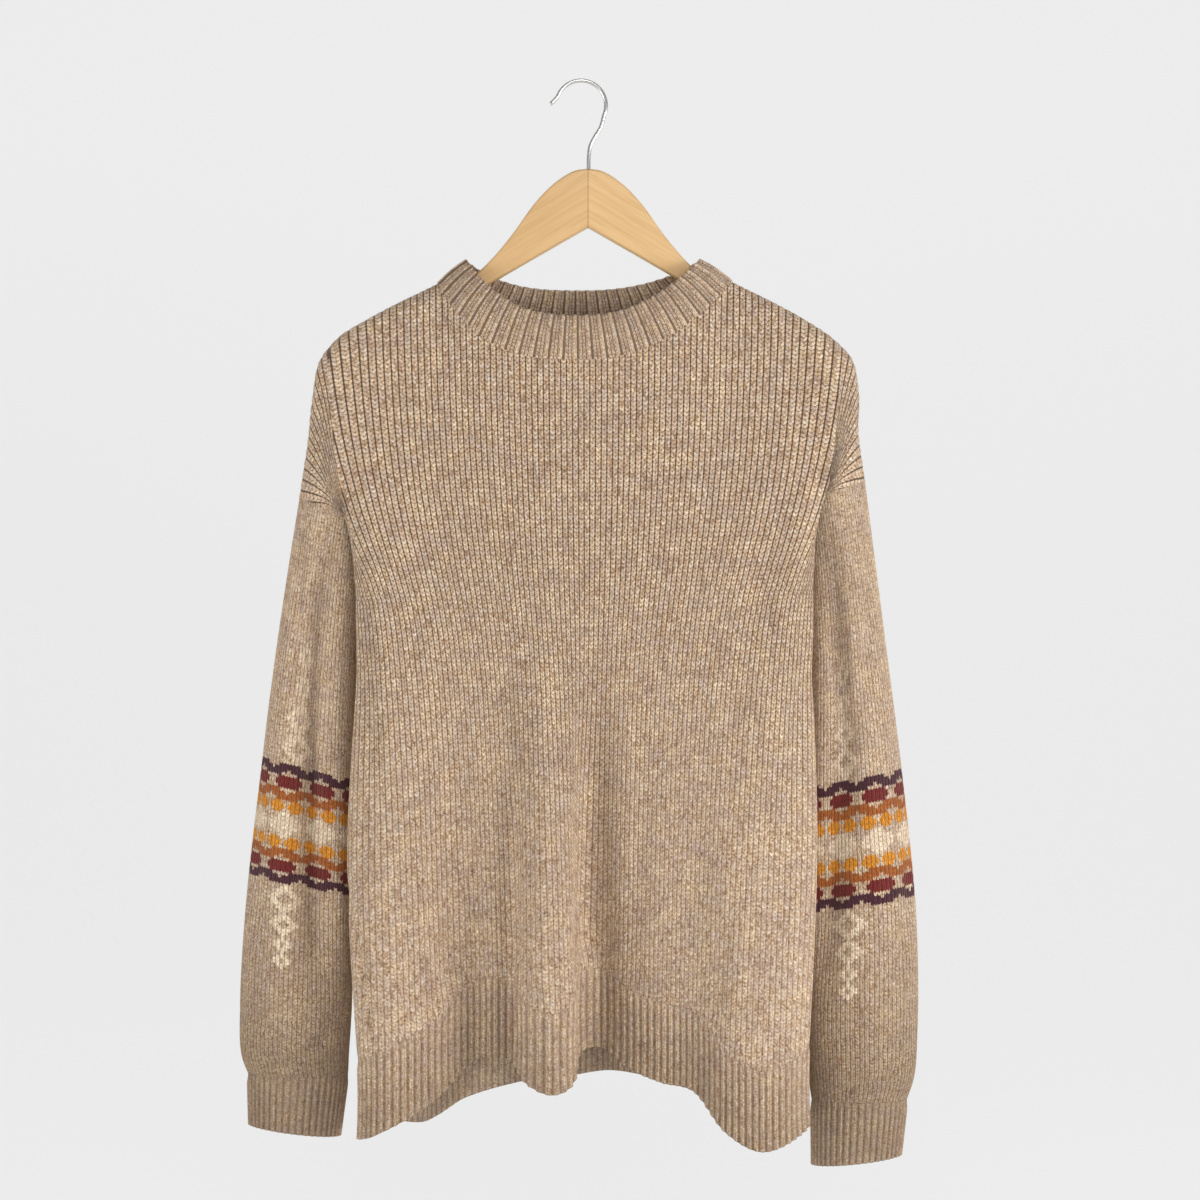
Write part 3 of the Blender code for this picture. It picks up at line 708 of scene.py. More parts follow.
def upper_panel(front):
    """The panel above the armpits, with mesh columns that follow the wales, and their wales."""
    down = shares(BODY_UPPER_ROWS) ** UPPER_ROW_POWER
    dense = shares(DENSE_SHARES)
    surface = upper_body(dense, down, front)
    wale, leaning = panel_wales(surface, down, dense, front)
    targets = shares(BODY_WALES * BODY_COLUMNS)
    chest_shares = spread(targets, CHEST_SPREAD)
    left, right = targets < SIDE_SHARE, targets > 1 - SIDE_SHARE
    inner = ~(left | right)
    middle = (dense > 0.05) & (dense < 0.95)
    crowding = 1 + CAP_CROWDING * smooth((CROWDED_ABOVE - down) / CROWDING_RUN)
    grid, wales_there = [], []
    for points, numbers, lean, crowd in zip(surface, wale, leaning, crowding):
        rising = np.maximum.accumulate(numbers[middle])
        share = chest_shares.copy()
        share[inner] = np.interp(targets[inner] * BODY_WALES, rising, dense[middle])
        first, last = share[inner][0], share[inner][-1]
        share[left] *= first / chest_shares[inner][0]
        share[right] = 1 - (1 - share[right]) * (1 - last) / (1 - chest_shares[inner][-1])
        grid.append(np.stack([np.interp(share, dense, points[:, axis]) for axis in range(3)], -1))
        # Over the arms the wales run down and inwards to the armpits, and lie closer.
        own = np.interp(share, dense, numbers + lean)
        crowded = BODY_WALES * crowd
        own[left] = own[inner][0] - (SIDE_SHARE - targets[left]) * crowded
        own[right] = own[inner][-1] + (targets[right] - 1 + SIDE_SHARE) * crowded
        wales_there.append(own)
    return np.array(grid), np.array(wales_there)


def soften(grid, axis, reach, weight):
    """Blurs a grid of points along one axis, as far as the weight says at each point."""
    steps = np.arange(-3 * reach, 3 * reach + 1)
    kernel = np.exp(-((steps / reach) ** 2) / 2)
    kernel /= kernel.sum()
    pad = [(0, 0)] * 3
    pad[axis] = (3 * reach, 3 * reach)
    padded = np.pad(grid, pad, mode="reflect", reflect_type="odd")
    size = grid.shape[axis]
    blurred = sum(
        share * np.take(padded, range(place, place + size), axis=axis)
        for place, share in enumerate(kernel)
    )
    return grid + (blurred - grid) * weight[..., None]


def panel_surface(front):
    """A panel's smooth surface and the wale at each point. The turns of the plain CAD surface
    below the neckband's ends and at the chest are eased."""
    upper, wale = upper_panel(front)
    share = shares(BODY_WALES * BODY_COLUMNS)
    lower = []
    for down in shares(BODY_LOWER_ROWS):
        closer = CHEST_SPREAD + HEM_SPREAD * (1 - math.exp(-down / SPREAD_REACH))
        lower.append(lower_body(spread(share, closer), np.array([down]), front)[0])
    outer = np.concatenate([upper[:-1], np.array(lower)])
    wale = np.concatenate([wale[:-1], np.tile(share * BODY_WALES, (len(lower), 1))])
    from_side = np.minimum(share, 1 - share)[None]
    rows_off_chest = np.arange(len(outer))[:, None] - BODY_UPPER_ROWS
    below_neck = smooth((lengths_down(outer, 0) - 4) / 26) * smooth(-rows_off_chest / NECK_EASE_ROWS)
    outer = soften(outer, 1, NECK_EASE, smooth((from_side - 0.1) / 0.08) * below_neck)
    near_chest = smooth(1.6 - np.abs(rows_off_chest) / CHEST_EASE_ROWS)
    near_chest = near_chest * smooth((from_side - 0.04) / 0.05)
    return soften(outer, 0, CHEST_EASE, near_chest), wale


def panel(name, front, cloth):
    """The front or the back, with its wales and creases."""
    outer, wale = panel_surface(front)
    normals = facing(outer, (0, -1 if front else 1, 0))
    above_hem = -lengths_down(outer, -1)
    pushed = creases(outer[..., 0::2], PANEL_CREASES["front" if front else "back"])
    pushed *= smooth(lengths_down(outer, 0) / CREASE_FADE) * smooth(above_hem / CREASE_FADE)
    raised = smooth(above_hem / HEM_START)
    # Where wales lie closer than the mesh can follow, the material alone shows them.
    closeness = np.abs(np.gradient(wale, axis=1)) * BODY_COLUMNS
    followed = raised * smooth((WALES_FOLLOWED - closeness) / 0.5)
    relief = BODY_RISE * (followed * wale_section(wale) + 0.5 * (1 - followed))
    below_chest = lengths_down(outer, BODY_UPPER_ROWS)
    tightening = 1 + COURSE_TIGHTENING * np.maximum(below_chest, 0)
    course = below_chest * tightening / BODY_COURSE
    marks = np.stack([wale, course], -1)
    return knit(
        name, outer, normals, relief, pushed, marks, False, cloth, columns=BODY_COLUMNS, rows=6
    )


def wale_section(wale):
    """How far the cloth stands out across each wale, 0 between two and 1 on one."""
    return np.abs(np.sin(math.pi * wale)) ** WALE_POWER


def neck_ring(loop, count):
    """A whole edge of the neckband, along the front and back again."""
    front = neck_loop(loop, neck_places(count, True), True)
    back = neck_loop(loop, neck_places(count, False), False)
    return np.concatenate([front[:-1], back[::-1][:-1]])


def neck_band(cloth):
    """The neckband's rib, with a raised row of loops where it is linked to the panels."""
    seam, edge = (
        neck_ring(loop, NECK_RIBS // 2 * NECK_COLUMNS) for loop in (NECK_SEAM, NECK_EDGE)
    )
    middle = (seam + edge) / 2 * np.array([1, 1.06, 1]) + np.array([0, 0, 1.5])
    up = shares(NECK_ROWS)
    t = up[:, None, None]
    outer = seam * (1 - t) * (1 - 2 * t) + middle * 4 * t * (1 - t) + edge * t * (2 * t - 1)
    rise = NECK_RISE * smooth(0.1 + 6 * up)
    linking = LINKING_RISE * np.exp(-(((up - 0.05) / 0.05) ** 2))
    relief = rise[:, None] * ribs(NECK_RIBS, NECK_COLUMNS, True) ** 3 + linking[:, None]
    marks = ring_marks(outer, NECK_RIBS * 4, NECK_COURSE)
    return knit(
        "neckband_knit", outer, ring_facing(outer), relief, 0 * relief, marks, True, cloth,
        columns=NECK_COLUMNS, rows=NECK_ROWS // 2, wall=BAND_WALL,
    )


def ring_marks(outer, wale_count, course):
    """Wales and courses of a ring grid, with one more column where it closes."""
    wale = np.linspace(0, wale_count, outer.shape[1] + 1)
    down = lengths_down(outer, 0).mean(axis=1) / course
    return np.stack(np.meshgrid(wale, down), -1)


def hem(name, front, cloth):
    """A ribbed hem, straight down from its panel's lower edge and pulled in at half height."""
    share = shares(HEM_RIBS * HEM_COLUMNS)
    seam = lower_body(share, np.array([0.98, 1.0]), front)
    strip = np.concatenate([seam, seam[-1:] - [0, 0, 5]])
    drop = np.linspace(0, HEM_RIB_HEIGHT, HEM_ROWS + 1)
    outer = seam[-1][None] - np.array([0, 0, 1.0]) * drop[:, None, None]
    normals = np.broadcast_to(facing(strip, (0, -1 if front else 1, 0))[1], outer.shape)
    started = smooth(drop / HEM_START)[:, None]
    relief = HEM_RISE * ribs(HEM_RIBS, HEM_COLUMNS, False) * started
    relief = relief + BODY_RISE * 0.5 * (1 - started)
    pulled = HEM_PULL * np.sin(math.pi * shares(HEM_ROWS)) ** 0.7
    pushed = np.broadcast_to(pulled[:, None], relief.shape)
    marks = np.stack(np.meshgrid(share * HEM_RIBS * 2, drop / HEM_COURSE), -1)
    return knit(
        name, outer, normals, relief, pushed, marks, False, cloth,
        columns=HEM_COLUMNS, rows=HEM_ROWS // 2,
    )


# ---- Sleeves with their patterned band ----

# Yarn colours, linear
YARNS = {
    "plum": (0.070, 0.015, 0.032),
    "red": (0.185, 0.013, 0.014),
    "rust": (0.420, 0.120, 0.022),
    "gold": (0.760, 0.300, 0.022),
    "cream": (0.900, 0.740, 0.550),
}
# The band's stripes from its upper edge to its middle, and the course each starts at.
STRIPES = (
    # yarn, first, courses, motif
    ("plum", 0, 4, "zigzag"),
    ("red", 4, 4, "lozenge"),
    ("rust", 8, 4, "chevron"),
    ("gold", 12, 4, "beads"),
    ("cream", 16, 4, "steps"),
)
HALF_BAND = 20
REPEAT = 12
# Where the band and the small stacked lozenges lie on each sleeve
BANDS = each_side(
    ("top_share", "slope_share", "columns"),
    (0.348, 0.042, (20, 52, 84)),
    (0.363, 0.03, (28, 60, 92)),
)
# Courses above or below the band's edge, half height and half width in stitches
LOZENGES = ((5, 5.5, 5.5), (14, 4.5, 4.5), (21.5, 3.5, 3.5), (27.5, 2.6, 2.6))
LOZENGE_HOLE = 0.38


def motif(kind, wale, course):
    """Whether a stripe's motif covers a stitch, counted within its repeat."""
    across = np.abs(wale % REPEAT - REPEAT / 2)
    if kind == "zigzag":
        return np.abs(across / 2 - course) < 1.7
    if kind == "lozenge":
        return across + 1.5 * np.abs(course - 1.5) < 5.7
    if kind == "chevron":
        return np.abs((REPEAT / 2 - across) / 2 - course) < 1.6
    if kind == "beads":
        return np.abs(wale % (REPEAT / 2) - REPEAT / 4) + np.abs(course - 1.5) < 3.2
    return across < 1.4 + 1.5 * course


def pattern(side):
    """The yarn of each stitch of a sleeve: red, green, blue and how much it covers the heather."""
    band = BANDS[side]
    course, wale = np.meshgrid(np.arange(SLEEVE_COURSES), np.arange(SLEEVE_WALES), indexing="ij")
    top = round(band["top_share"] * SLEEVE_COURSES)
    into = course - top
    mirrored = np.minimum(into, 2 * HALF_BAND - 1 - into)
    tints = np.zeros(course.shape + (4,))
    for yarn, first, courses, kind in STRIPES:
        inside = (mirrored >= first) & (mirrored < first + courses)
        covered = inside & motif(kind, wale, mirrored - first)
        tints[covered] = (*YARNS[yarn], 1.0)
    for centre in band["columns"]:
        across = np.abs((wale - centre + SLEEVE_WALES / 2) % SLEEVE_WALES - SLEEVE_WALES / 2)
        for away, half_height, half_width in LOZENGES:
            for middle in (top - 1 - away, top + 2 * HALF_BAND + away):
                reach = across / half_width + np.abs(course - middle) / half_height
                tints[(reach < 1) & (reach > LOZENGE_HOLE)] = (*YARNS["cream"], 1.0)
    return np.repeat(tints, SLEEVE_COLUMNS, axis=1)


def arm_section(size, angle):
    """Points round an arm between its outer and its inner edge."""
    t = (1 - np.cos(angle)) / 2
    x = size["out_x"] + (size["in_x"] - size["out_x"]) * t
    z = size["out_z"] + (size["in_z"] - size["out_z"]) * t
    return np.stack([x, size["y"] - size["half_depth"] * np.sin(angle), z], -1)


def sleeve_grid(side, share, angle):
    """A sleeve from the armhole seam, share 0, to the cuff seam, share 1."""
    names = ("z", "out_x", "in_x", "y", "half_depth")
    curves = along(SLEEVES[side], share.ravel(), names).reshape(share.shape + (len(names),))
    size = dict(zip(names, np.moveaxis(curves, -1, 0)))
    section = arm_section(dict(size, out_z=size["z"], in_z=size["z"]), angle)
    free = smooth(share / SLEEVE_BLEND)[..., None] ** 0.5
    return armhole(side, angle) * (1 - free) + section * free


def ring_angles(columns):
    """Angles of a ring's mesh columns."""
    return np.linspace(0, 2 * math.pi, columns, endpoint=False)


def sleeve(side, name, cloth):
    """A sleeve with its creases. Its courses slope a little, and its stitches lean in turn."""
    angles = ring_angles(SLEEVE_WALES * SLEEVE_COLUMNS)
    share, angle = np.meshgrid(shares(SLEEVE_COURSES), angles, indexing="ij")
    slope = BANDS[side]["slope_share"] * np.sin(math.pi * share) ** 0.5
    leg = STITCH_SLANT * np.minimum(np.arange(share.shape[1]) % SLEEVE_COLUMNS, 1)
    leg = leg * smooth(share / SLANT_FADE) * smooth((1 - share) / SLANT_FADE)
    sloped = share - slope * np.cos(angle) / 2 + leg
    outer = sleeve_grid(side, np.clip(sloped, 0, 1), angle)
    places = np.stack([angle / (2 * math.pi), share], -1)
    pushed = creases(places, SLEEVE_CREASES[side], (SLEEVE_GIRTH, SLEEVE_LENGTH))
    pushed *= smooth(share / 0.06) * smooth((1 - share) / 0.03)
    wale = np.linspace(0, SLEEVE_WALES * SLEEVE_WALE_SCALE, share.shape[1] + 1)
    relief = SLEEVE_RISE * wale_section(wale[:-1]) * np.ones(share.shape)
    course = np.arange(SLEEVE_COURSES + 1) * SLEEVE_COURSE_SCALE
    marks = np.stack(np.meshgrid(wale, course), -1)
    return knit(
        name, outer, ring_facing(outer), relief, pushed, marks, True, cloth,
        columns=SLEEVE_COLUMNS, rows=6, tints=pattern(side),
    )


def cuff(side, name, cloth):
    """A ribbed cuff from the sleeve's end to its own edge."""
    angle = ring_angles(CUFF_RIBS * CUFF_COLUMNS)
    seam = sleeve_grid(side, np.ones_like(angle)[None], angle[None])[0]
    mouth = arm_section(CUFFS[side], angle)
    down = shares(CUFF_ROWS)[:, None, None]
    outer = seam * (1 - down) + mouth * down
    rise = CUFF_RISE * smooth(np.linspace(0.2, 4.0, CUFF_ROWS + 1))
    relief = rise[:, None] * ribs(CUFF_RIBS, CUFF_COLUMNS, True)
    marks = ring_marks(outer, CUFF_RIBS * 2, CUFF_COURSE)
    return knit(
        name, outer, ring_facing(outer), relief, 0 * relief, marks, True, cloth,
        columns=CUFF_COLUMNS, rows=CUFF_ROWS // 2,
    )


# ---- Hanger and hook ----

WOOD_SECTIONS = 120
WOOD_ROUND_SEGMENTS = 5
WOOD_ROUND = 2.5
SHARP_FROM = math.radians(50)
HOOK_SIDES = 16
HOOK_SMOOTH = 220


def wood_section(half_depth, low, high):
    """Points round an upright section of the wood, with rounded corners."""
    radius = min(WOOD_ROUND, (high - low) / 2.2)
    points = []
    for corner, (y, z) in enumerate(((1, 1), (-1, 1), (-1, -1), (1, -1))):
        centre_y = y * (half_depth - radius)
        centre_z = (high - radius) if z > 0 else (low + radius)
        for step in range(WOOD_ROUND_SEGMENTS + 1):
            turn = math.pi / 2 * (corner + step / WOOD_ROUND_SEGMENTS)
            points.append((centre_y + radius * math.cos(turn), centre_z + radius * math.sin(turn)))
    return points


def hanger(material):
    """The wooden arms, through upright sections from one tip to the other."""
    reach = np.linspace(-WOOD_TOP["reach"][-1], WOOD_TOP["reach"][-1], WOOD_SECTIONS + 1)
    knots = dict(WOOD_TOP, share=WOOD_TOP["reach"])
    high = along(knots, np.abs(reach), ("z",))[:, 0]
    low = np.maximum(WOOD_LOW_Z - WOOD_LOW_SLOPE * np.abs(reach), WOOD_TIP_Z)
    rings = []
    for x, lower, upper in zip(CENTRE_X + reach, low, high):
        rings.append([(x, y, z) for y, z in wood_section(WOOD_THICK / 2, lower, upper)])
    return loft("hanger_wood_turned", np.array(rings), material)


def loft(name, rings, material):
    """A closed solid through a row of rings."""
    count, around = rings.shape[:2]
    faces = []
    for ring in range(count - 1):
        for place in range(around):
            after = (place + 1) % around
            here, there = ring * around, (ring + 1) * around
            faces.append((here + place, here + after, there + after, there + place))
    faces.append(tuple(range(around)))
    faces.append(tuple(range((count - 1) * around, count * around)))
    mesh = bpy.data.meshes.new(name)
    mesh.from_pydata((rings.reshape(-1, 3) * MM).tolist(), [], faces)
    made = solid_object(mesh, material)
    mesh.set_sharp_from_angle(angle=SHARP_FROM)
    return made


def rounded_path(path, count):
    """A smooth curve through a path of points, sampled evenly."""
    path = np.array(path, float)
    steps = np.linalg.norm(np.diff(path, axis=0), axis=1)
    rows = dict(share=np.concatenate([[0], np.cumsum(steps)]), x=path[:, 0], z=path[:, 1])
    return along(rows, np.linspace(0, rows["share"][-1], count), ("x", "z"))


def hook(material):
    """The wire, with a rounded tip."""
    middle = rounded_path(hook_path(), HOOK_SMOOTH)
    ahead = unit(np.gradient(middle, axis=0))
    turn = ring_angles(HOOK_SIDES)
    radius = np.full(len(middle), HOOK_WIRE / 2)
    radius[:4] *= (0.45, 0.75, 0.9, 0.97)
    rings = []
    for (x, z), (ahead_x, ahead_z), wide in zip(middle, ahead, radius):
        across = wide * np.cos(turn)
        rings.append(
            np.stack([x + across * ahead_z, wide * np.sin(turn), z - across * ahead_x], -1)
        )
    return loft("hook_wire", np.array(rings), material)


# ---- Materials ----


def rgba(colour):
    return colour if hasattr(colour, "is_output") else (*colour, 1)


class Nodes:
    """Short calls for making shader nodes in one material."""

    def __init__(self, name):
        self.material = bpy.data.materials.new(name)
        self.material.use_nodes = True
        self.tree = self.material.node_tree

    def feed(self, node, inputs):
        """Sets a node's inputs to values, or links them to outputs."""
        for name, value in inputs.items():
            if hasattr(value, "is_output"):
                self.tree.links.new(value, node.inputs[name])
            else:
                node.inputs[name].default_value = value

    def put(self, kind, inputs=(), **settings):
        node = self.tree.nodes.new("ShaderNode" + kind)
        for key, value in settings.items():
            setattr(node, key, value)
        self.feed(node, dict(inputs))
        return node

    def shade(self, inputs):
        """The finished material, from its shader's inputs."""
        self.feed(self.tree.nodes["Principled BSDF"], inputs)
        return self.material

    def math(self, operation, *values):
        return self.put("Math", enumerate(values), operation=operation).outputs[0]

    def times(self, first, second):
        return self.math("MULTIPLY", first, second)

    def times_plus(self, first, second, third):
        return self.math("MULTIPLY_ADD", first, second, third)

    def between(self, value, low, high, new_low=0.0, new_high=1.0):
        inputs = {"Value": value, "From Min": low, "From Max": high}
        inputs.update({"To Min": new_low, "To Max": new_high})
        return self.put("MapRange", inputs, interpolation_type="SMOOTHSTEP").outputs[0]

    def vector(self, x, y, z=0.0):
        return self.put("CombineXYZ", {"X": x, "Y": y, "Z": z}).outputs[0]

    def noise(self, vector, scale, detail, roughness):
        inputs = {"Vector": vector, "Scale": scale, "Detail": detail, "Roughness": roughness}
        return self.put("TexNoise", inputs).outputs["Fac"]

    def mix(self, factor, first, second, blend="MIX"):
        inputs = {"Factor": factor, 6: rgba(first), 7: rgba(second)}
        return self.put("Mix", inputs, data_type="RGBA", blend_type=blend).outputs[2]

    def tint(self, colour, by):
        return self.mix(1.0, colour, by, "MULTIPLY")


# Each cloth: its two heather shades and the colour of the painted shade in its stitch gaps, linear;
# how dark that painted shade gets, how strong the relief and the fuzz are, and how much its fibres
# differ.
CLOTH_COLUMNS = ("warm", "cool", "gap", "depth", "bump", "fuzz", "contrast")
CLOTHS = {
    "body knit": ((0.72, 0.54, 0.355), (0.54, 0.4, 0.305), (0.095, 0.058, 0.034), 1, 1, 0.2, 1.3),
    "sleeve knit": ((0.74, 0.56, 0.37), (0.58, 0.43, 0.33), (0.15, 0.1, 0.065), 0.85, 0.9, 0.25, 1.15),
    "neck rib knit": ((0.69, 0.515, 0.34), (0.54, 0.4, 0.305), (0.105, 0.066, 0.04), 0.95, 0.8, 0.2, 1.1),
    "hem rib knit": ((0.76, 0.57, 0.375), (0.59, 0.435, 0.335), (0.105, 0.066, 0.04), 0.6, 0.8, 0.2, 1.1),
    "cuff rib knit": ((0.5, 0.368, 0.238), (0.395, 0.29, 0.216), (0.1, 0.062, 0.038), 0.5, 0.8, 0.2, 0.9),
}
# The ribs: wales in one, how dark the painted shade in its hollow is, where and how wide, and how much
# painted light its crest gets.
RIBS = {
    "neck rib knit": dict(wales=4, hollow=0.9, hollow_at=0.66, width=0.12, crest_light=0.8),
    "hem rib knit": dict(wales=2, hollow=0.55, hollow_at=0.0, width=0.34, crest_light=0.3),
    "cuff rib knit": dict(wales=2, hollow=0.45, hollow_at=0.0, width=0.34, crest_light=0.3),
}
# How much the painted light lightens each rib's crest
RIDGE_LIGHT = 0.22
# Cloths that darken downwards: between which courses, and to what.
FADES = {
    "sleeve knit": dict(start=52, end=124, tint=(0.64, 0.62, 0.58)),
    "hem rib knit": dict(start=-3, end=26, tint=(0.8, 0.79, 0.76)),
}
# The painted shade in the gaps of the body's cloth is fainter below the chest.
LOWER_GAP_SHADE = dict(start=-20, end=90, left=0.5)
# Tint that turns the patterned yarn into the painted shade of its stitch gaps
PATTERN_GAP_SHADE = (0.42, 0.39, 0.36)


def stitches(make, mark):
    """Height of V-shaped stitches, each half stitch's own chance, and its wale and course."""
    wale, course = make.put("SeparateXYZ", {0: mark}).outputs[:2]
    from_middle = make.math("ABSOLUTE", make.math("SUBTRACT", make.math("FRACT", wale), 0.5))
    leg = make.times(from_middle, 2.0)
    slanted = make.times_plus(leg, 0.6, course)
    arch = make.math("SINE", make.times(make.math("FRACT", slanted), math.pi))
    lobe = make.math("SINE", make.times_plus(leg, 2.4, 0.55))
    height = make.times(make.math("POWER", arch, 0.45), make.math("MAXIMUM", lobe, 0.0))
    height = make.times(height, make.between(leg, 0.70, 0.98, 1.0, 0.25))
    half = make.math("FLOOR", make.times(wale, 2.0))
    stitch = make.vector(half, make.math("FLOOR", slanted))
    chance = make.put("TexWhiteNoise", {"Vector": stitch}, noise_dimensions="2D")
    return height, chance.outputs[0], wale, course


def heather(make, name, cloth, chance, course, place):
    """The two shades of the yarn, in patches and by half stitches."""
    shade = make.times_plus(chance, 0.25, make.noise(place, 70.0, 3.0, 0.6))
    colour = make.mix(make.between(shade, 0.40, 0.85), cloth["warm"], cloth["cool"])
    if name in FADES:
        fade = FADES[name]
        low = make.between(course, fade["start"], fade["end"])
        colour = make.mix(low, colour, make.tint(colour, fade["tint"]))
    return colour


def fibres(make, cloth, chance, flecks, cover):
    """How light single fibres and half stitches are. The darker ones are browner."""
    uneven = make.times_plus(flecks, 1.7, make.times_plus(chance, 0.36, -1.03))
    if cover:
        uneven = make.times(uneven, make.times_plus(cover, -0.5, 1.0))
    light = make.math("MAXIMUM", make.times_plus(uneven, cloth["contrast"], 0.90), 0.05)
    return make.vector(light, make.math("POWER", light, 1.3), make.math("POWER", light, 1.5))


def off_line(make, turn, place):
    """How far a count of ribs is from one line of each rib, at a share of its width."""
    from_line = make.math("FRACT", make.math("ADD", turn, 0.5 - place))
    return make.math("ABSOLUTE", make.math("SUBTRACT", from_line, 0.5))


def ribbed(make, rib, wale, colour, painted_shade):
    """The colour and the painted shade of the gaps, with painted light on each rib's crest and painted
    shade in its hollow.
    """
    turn = make.math("DIVIDE", wale, rib["wales"])
    width = rib["width"]
    off_hollow = off_line(make, turn, rib["hollow_at"])
    # Painted shade in the rib's hollow, and painted light along its crest
    hollow = make.between(off_hollow, width, 0.25 * width, 0.0, rib["hollow"])
    crest_light = make.between(off_line(make, turn, 0.5), 0.13, 0.05, 0.0, rib["crest_light"])
    painted_shade = make.times(make.math("MAXIMUM", painted_shade, hollow), make.math("SUBTRACT", 1.0, crest_light))
    lit = make.times_plus(crest_light, RIDGE_LIGHT, 1.0)
    return make.tint(colour, make.vector(lit, lit, lit)), painted_shade


def knit_material(name):
    """Heathered wool: each half stitch has its own shade, and painted shade darkens the gaps between."""
    cloth = dict(zip(CLOTH_COLUMNS, CLOTHS[name]))
    make = Nodes(name)
    mark = make.put("UVMap", uv_map="knit").outputs[0]
    height, chance, wale, course = stitches(make, mark)
    place = make.put("TexCoord").outputs["Object"]
    flecks = make.noise(place, 560.0, 2.0, 0.8)
    colour = heather(make, name, cloth, chance, course, place)
    cover = None
    if name == "sleeve knit":
        yarn = make.put("Attribute", attribute_name="yarn")
        cover = yarn.outputs["Alpha"]
        colour = make.mix(cover, colour, yarn.outputs["Color"])
    colour = make.tint(colour, fibres(make, cloth, chance, flecks, cover))
    # Painted shade in the gaps between stitches, where the stitches are low
    painted_shade = make.times(make.between(height, 0.66, 0.14), cloth["depth"])
    if name == "body knit":
        lower = make.between(course, LOWER_GAP_SHADE["start"], LOWER_GAP_SHADE["end"], 1.0, LOWER_GAP_SHADE["left"])
        painted_shade = make.times(painted_shade, lower)
    if name in RIBS:
        colour, painted_shade = ribbed(make, RIBS[name], wale, colour, painted_shade)
    # The colour of that painted shade: the patterned yarn darkened, or the cloth's own gap colour
    gap = make.tint(colour, PATTERN_GAP_SHADE) if cover else cloth["gap"]
    rough = make.times_plus(flecks, 0.4, height)
    bump = make.put("Bump", {"Height": rough, "Strength": cloth["bump"], "Distance": 0.0008})
    return make.shade({
        "Base Color": make.mix(painted_shade, colour, gap),
        "Normal": bump.outputs[0],
        "Roughness": 0.95,
        "Specular IOR Level": 0.15,
        "Sheen Weight": cloth["fuzz"],
        "Sheen Roughness": 0.6,
        "Sheen Tint": (1.0, 0.86, 0.72, 1),
    })


def maple():
    """Pale wood with its grain down both arms, painted shade on the left one, and a joint between them.
    """
    make = Nodes("maple")
    place = make.put("TexCoord").outputs["Object"]
    x, y, z = make.put("SeparateXYZ", {0: place}).outputs
    from_joint = make.math("SUBTRACT", x, (CENTRE_X + 0.1) * MM)
    side = make.math("ABSOLUTE", from_joint)
    fallen = make.times_plus(side, 0.6, z)
    grain = make.vector(make.times(side, 6.0), make.times(y, 60.0), make.times(fallen, 90.0))
    streaks = make.noise(grain, 4.0, 4.0, 0.6)
    pores = make.noise(grain, 26.0, 2.0, 0.6)
    colour = make.mix(make.between(streaks, 0.3, 0.75), (0.66, 0.43, 0.20), (0.57, 0.35, 0.148))
    colour = make.mix(make.between(pores, 0.62, 0.8, 0.0, 0.25), colour, (0.42, 0.24, 0.10))
    # Painted shade: the left arm is darkened, as the light falls on it less
    left = make.math("LESS_THAN", from_joint, 0.0)
    colour = make.mix(make.times(left, 0.3), colour, (0.50, 0.30, 0.125))
    joint = make.between(side, 0.0007, 0.0002, 0.0, 0.55)
    colour = make.mix(joint, colour, (0.25, 0.13, 0.05))
    return make.shade({"Base Color": colour, "Roughness": 0.42, "Coat Weight": 0.15})


def steel():
    bright = (0.62, 0.61, 0.59, 1)
    return Nodes("steel wire").shade({"Base Color": bright, "Metallic": 1.0, "Roughness": 0.24})


# ---- Room, light and camera ----

CAMERA_AT = (0.015, -2.234, -0.408)
CAMERA_LENS = 85
FLOOR_Z = -1.02
FLOOR_START_Y = -6.0
WALL_Y = 3.4
WALL_TOP_Z = 6.0
WALL_REACH = 8.0
COVE_RADIUS = 1.6
COVE_STEPS = 16
# Area lights: place, what they aim at, size, power in watts
LIGHTS = (
    ((1.9, -1.15, -0.55), (0, 0, -0.55), 0.8, 28),
    ((-1.9, -1.15, -0.55), (0, 0, -0.55), 0.9, 16),
    ((0.8, -2.3, -0.25), (0, 0, -0.5), 0.8, 7),
    ((0, -1.5, 0.75), (0, 0, -0.25), 0.5, 6),
)
WORLD_LIGHT = 0.36
BACKDROP_GREY = (0.3, 0.3, 0.3, 1)
BACKDROP_GLOW = 2.12


def backdrop_material():
    """Grey that glows a little, so that it shows pale and even."""
    return Nodes("pale backdrop").shade({
        "Emission Color": BACKDROP_GREY,
        "Emission Strength": BACKDROP_GLOW,
        "Base Color": BACKDROP_GREY,
        "Roughness": 0.9,
        "Specular IOR Level": 0.1,
    })


def backdrop():
    """A pale floor that curves up into a pale wall."""
    profile = [(FLOOR_START_Y, FLOOR_Z), (WALL_Y - COVE_RADIUS, FLOOR_Z)]
    for turn in math.pi / 2 * shares(COVE_STEPS)[1:]:
        y = WALL_Y - COVE_RADIUS + COVE_RADIUS * math.sin(turn)
        profile.append((y, FLOOR_Z + COVE_RADIUS * (1 - math.cos(turn))))
    profile.append((WALL_Y, WALL_TOP_Z))
    points = [(x, y, z) for y, z in profile for x in (-WALL_REACH, WALL_REACH)]
    faces = [(2 * i, 2 * i + 1, 2 * i + 3, 2 * i + 2) for i in range(len(profile) - 1)]
    mesh = bpy.data.meshes.new("backdrop")
    mesh.from_pydata(points, [], faces)
    mesh.shade_smooth()
    mesh.materials.append(backdrop_material())
    made = bpy.data.objects.new("backdrop", mesh)
    bpy.context.scene.collection.objects.link(made)


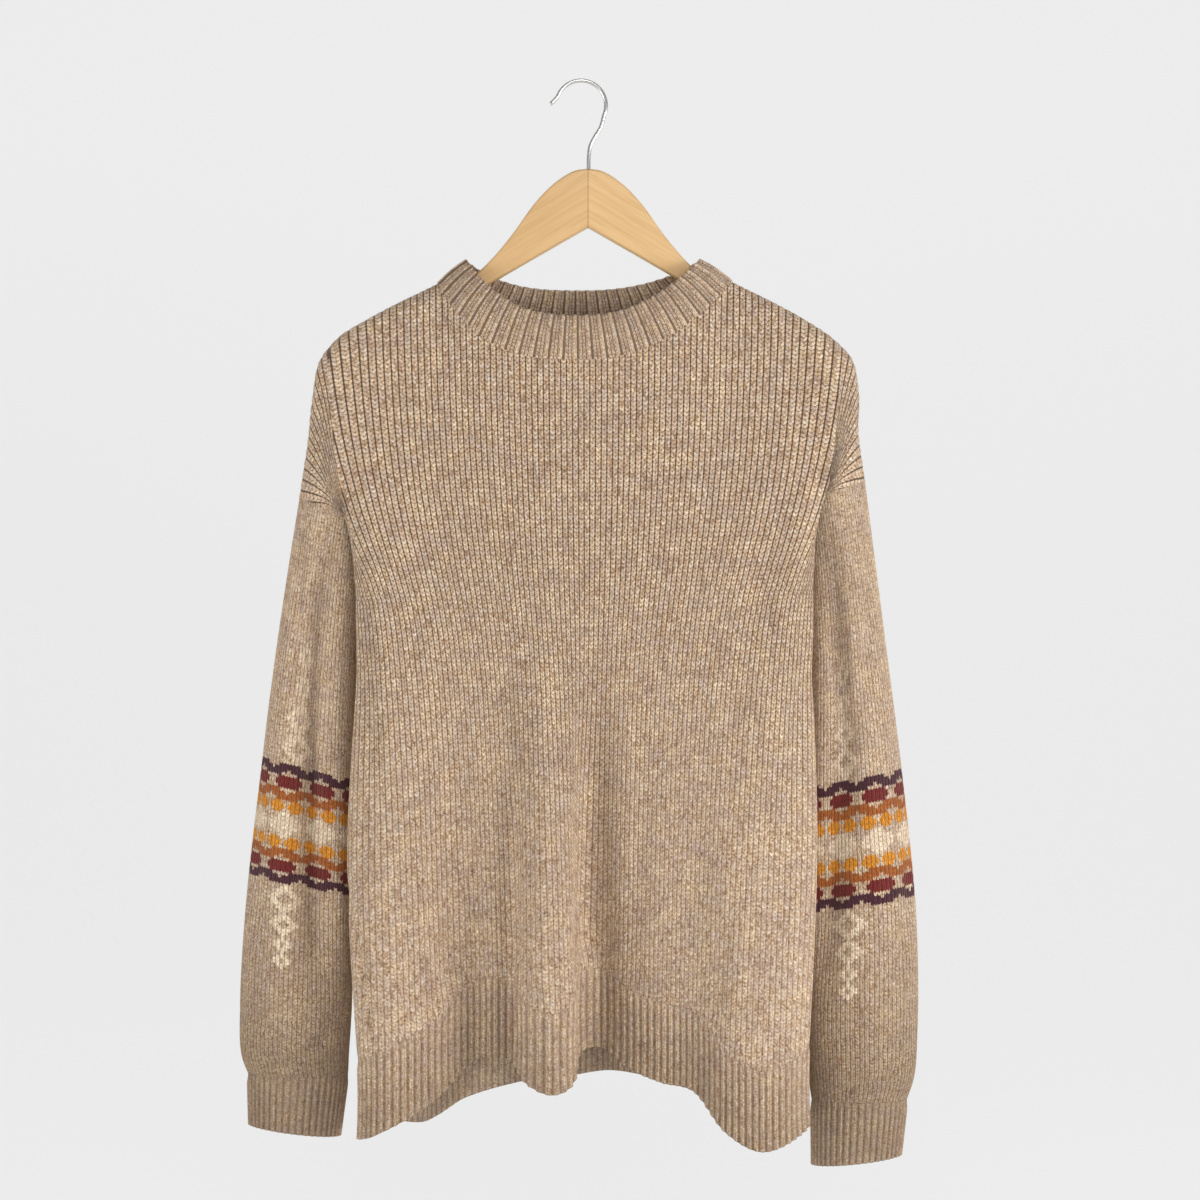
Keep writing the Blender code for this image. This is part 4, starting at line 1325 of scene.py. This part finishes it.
def lights():
    for number, (place, aim, size, power) in enumerate(LIGHTS):
        lamp = bpy.data.lights.new(f"soft light {number}", "AREA")
        lamp.size = size
        lamp.energy = power
        made = bpy.data.objects.new(lamp.name, lamp)
        made.location = place
        made.rotation_euler = (Vector(aim) - Vector(place)).to_track_quat("-Z", "Y").to_euler()
        bpy.context.scene.collection.objects.link(made)
    world = bpy.data.worlds.new("even studio light")
    world.use_nodes = True
    sky = world.node_tree.nodes["Background"]
    sky.inputs["Color"].default_value = (1, 1, 1, 1)
    sky.inputs["Strength"].default_value = WORLD_LIGHT
    bpy.context.scene.world = world


def camera():
    lens = bpy.data.cameras.new("camera")
    lens.lens = CAMERA_LENS
    lens.sensor_width = 36
    made = bpy.data.objects.new("camera", lens)
    made.location = CAMERA_AT
    made.rotation_euler = (math.pi / 2, 0, 0)
    bpy.context.scene.collection.objects.link(made)
    bpy.context.scene.camera = made


# ---- The whole scene ----


def dress(piece, node):
    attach(piece, "root")
    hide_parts(node)
    return piece


def main():
    cloths = [knit_material(name) for name in CLOTHS]
    body_cloth, sleeve_cloth, neck_cloth, rib_cloth, cuff_cloth = cloths
    wood = dress(hanger(maple()), "hanger_wood")
    dress(hook(steel()), "hook")
    front = dress(panel("front_panel_knit", True, body_cloth), "front_panel")
    back = dress(panel("back_panel_knit", False, body_cloth), "back_panel")
    band = dress(neck_band(neck_cloth), "neckband")
    for name, node, is_front, carrier, width in (
        ("hem_rib_front_knit", "hem_rib_front", True, front, 0.46),
        ("hem_rib_back_knit", "hem_rib_back", False, back, 0.38),
    ):
        made = dress(hem(name, is_front, rib_cloth), node)
    for side, word in ((-1, "left"), (1, "right")):
        arm = sleeve(side, f"sleeve_{word}_knit", sleeve_cloth)
        dress(arm, f"sleeve_{word}")
        end = dress(cuff(side, f"cuff_{word}_knit", cuff_cloth), f"cuff_{word}")
    backdrop()
    lights()
    camera()
    bpy.context.scene.view_settings.view_transform = "Standard"


DRESSED = bpy.data.collections.new("dressed sweater")
bpy.context.scene.collection.children.link(DRESSED)
main()
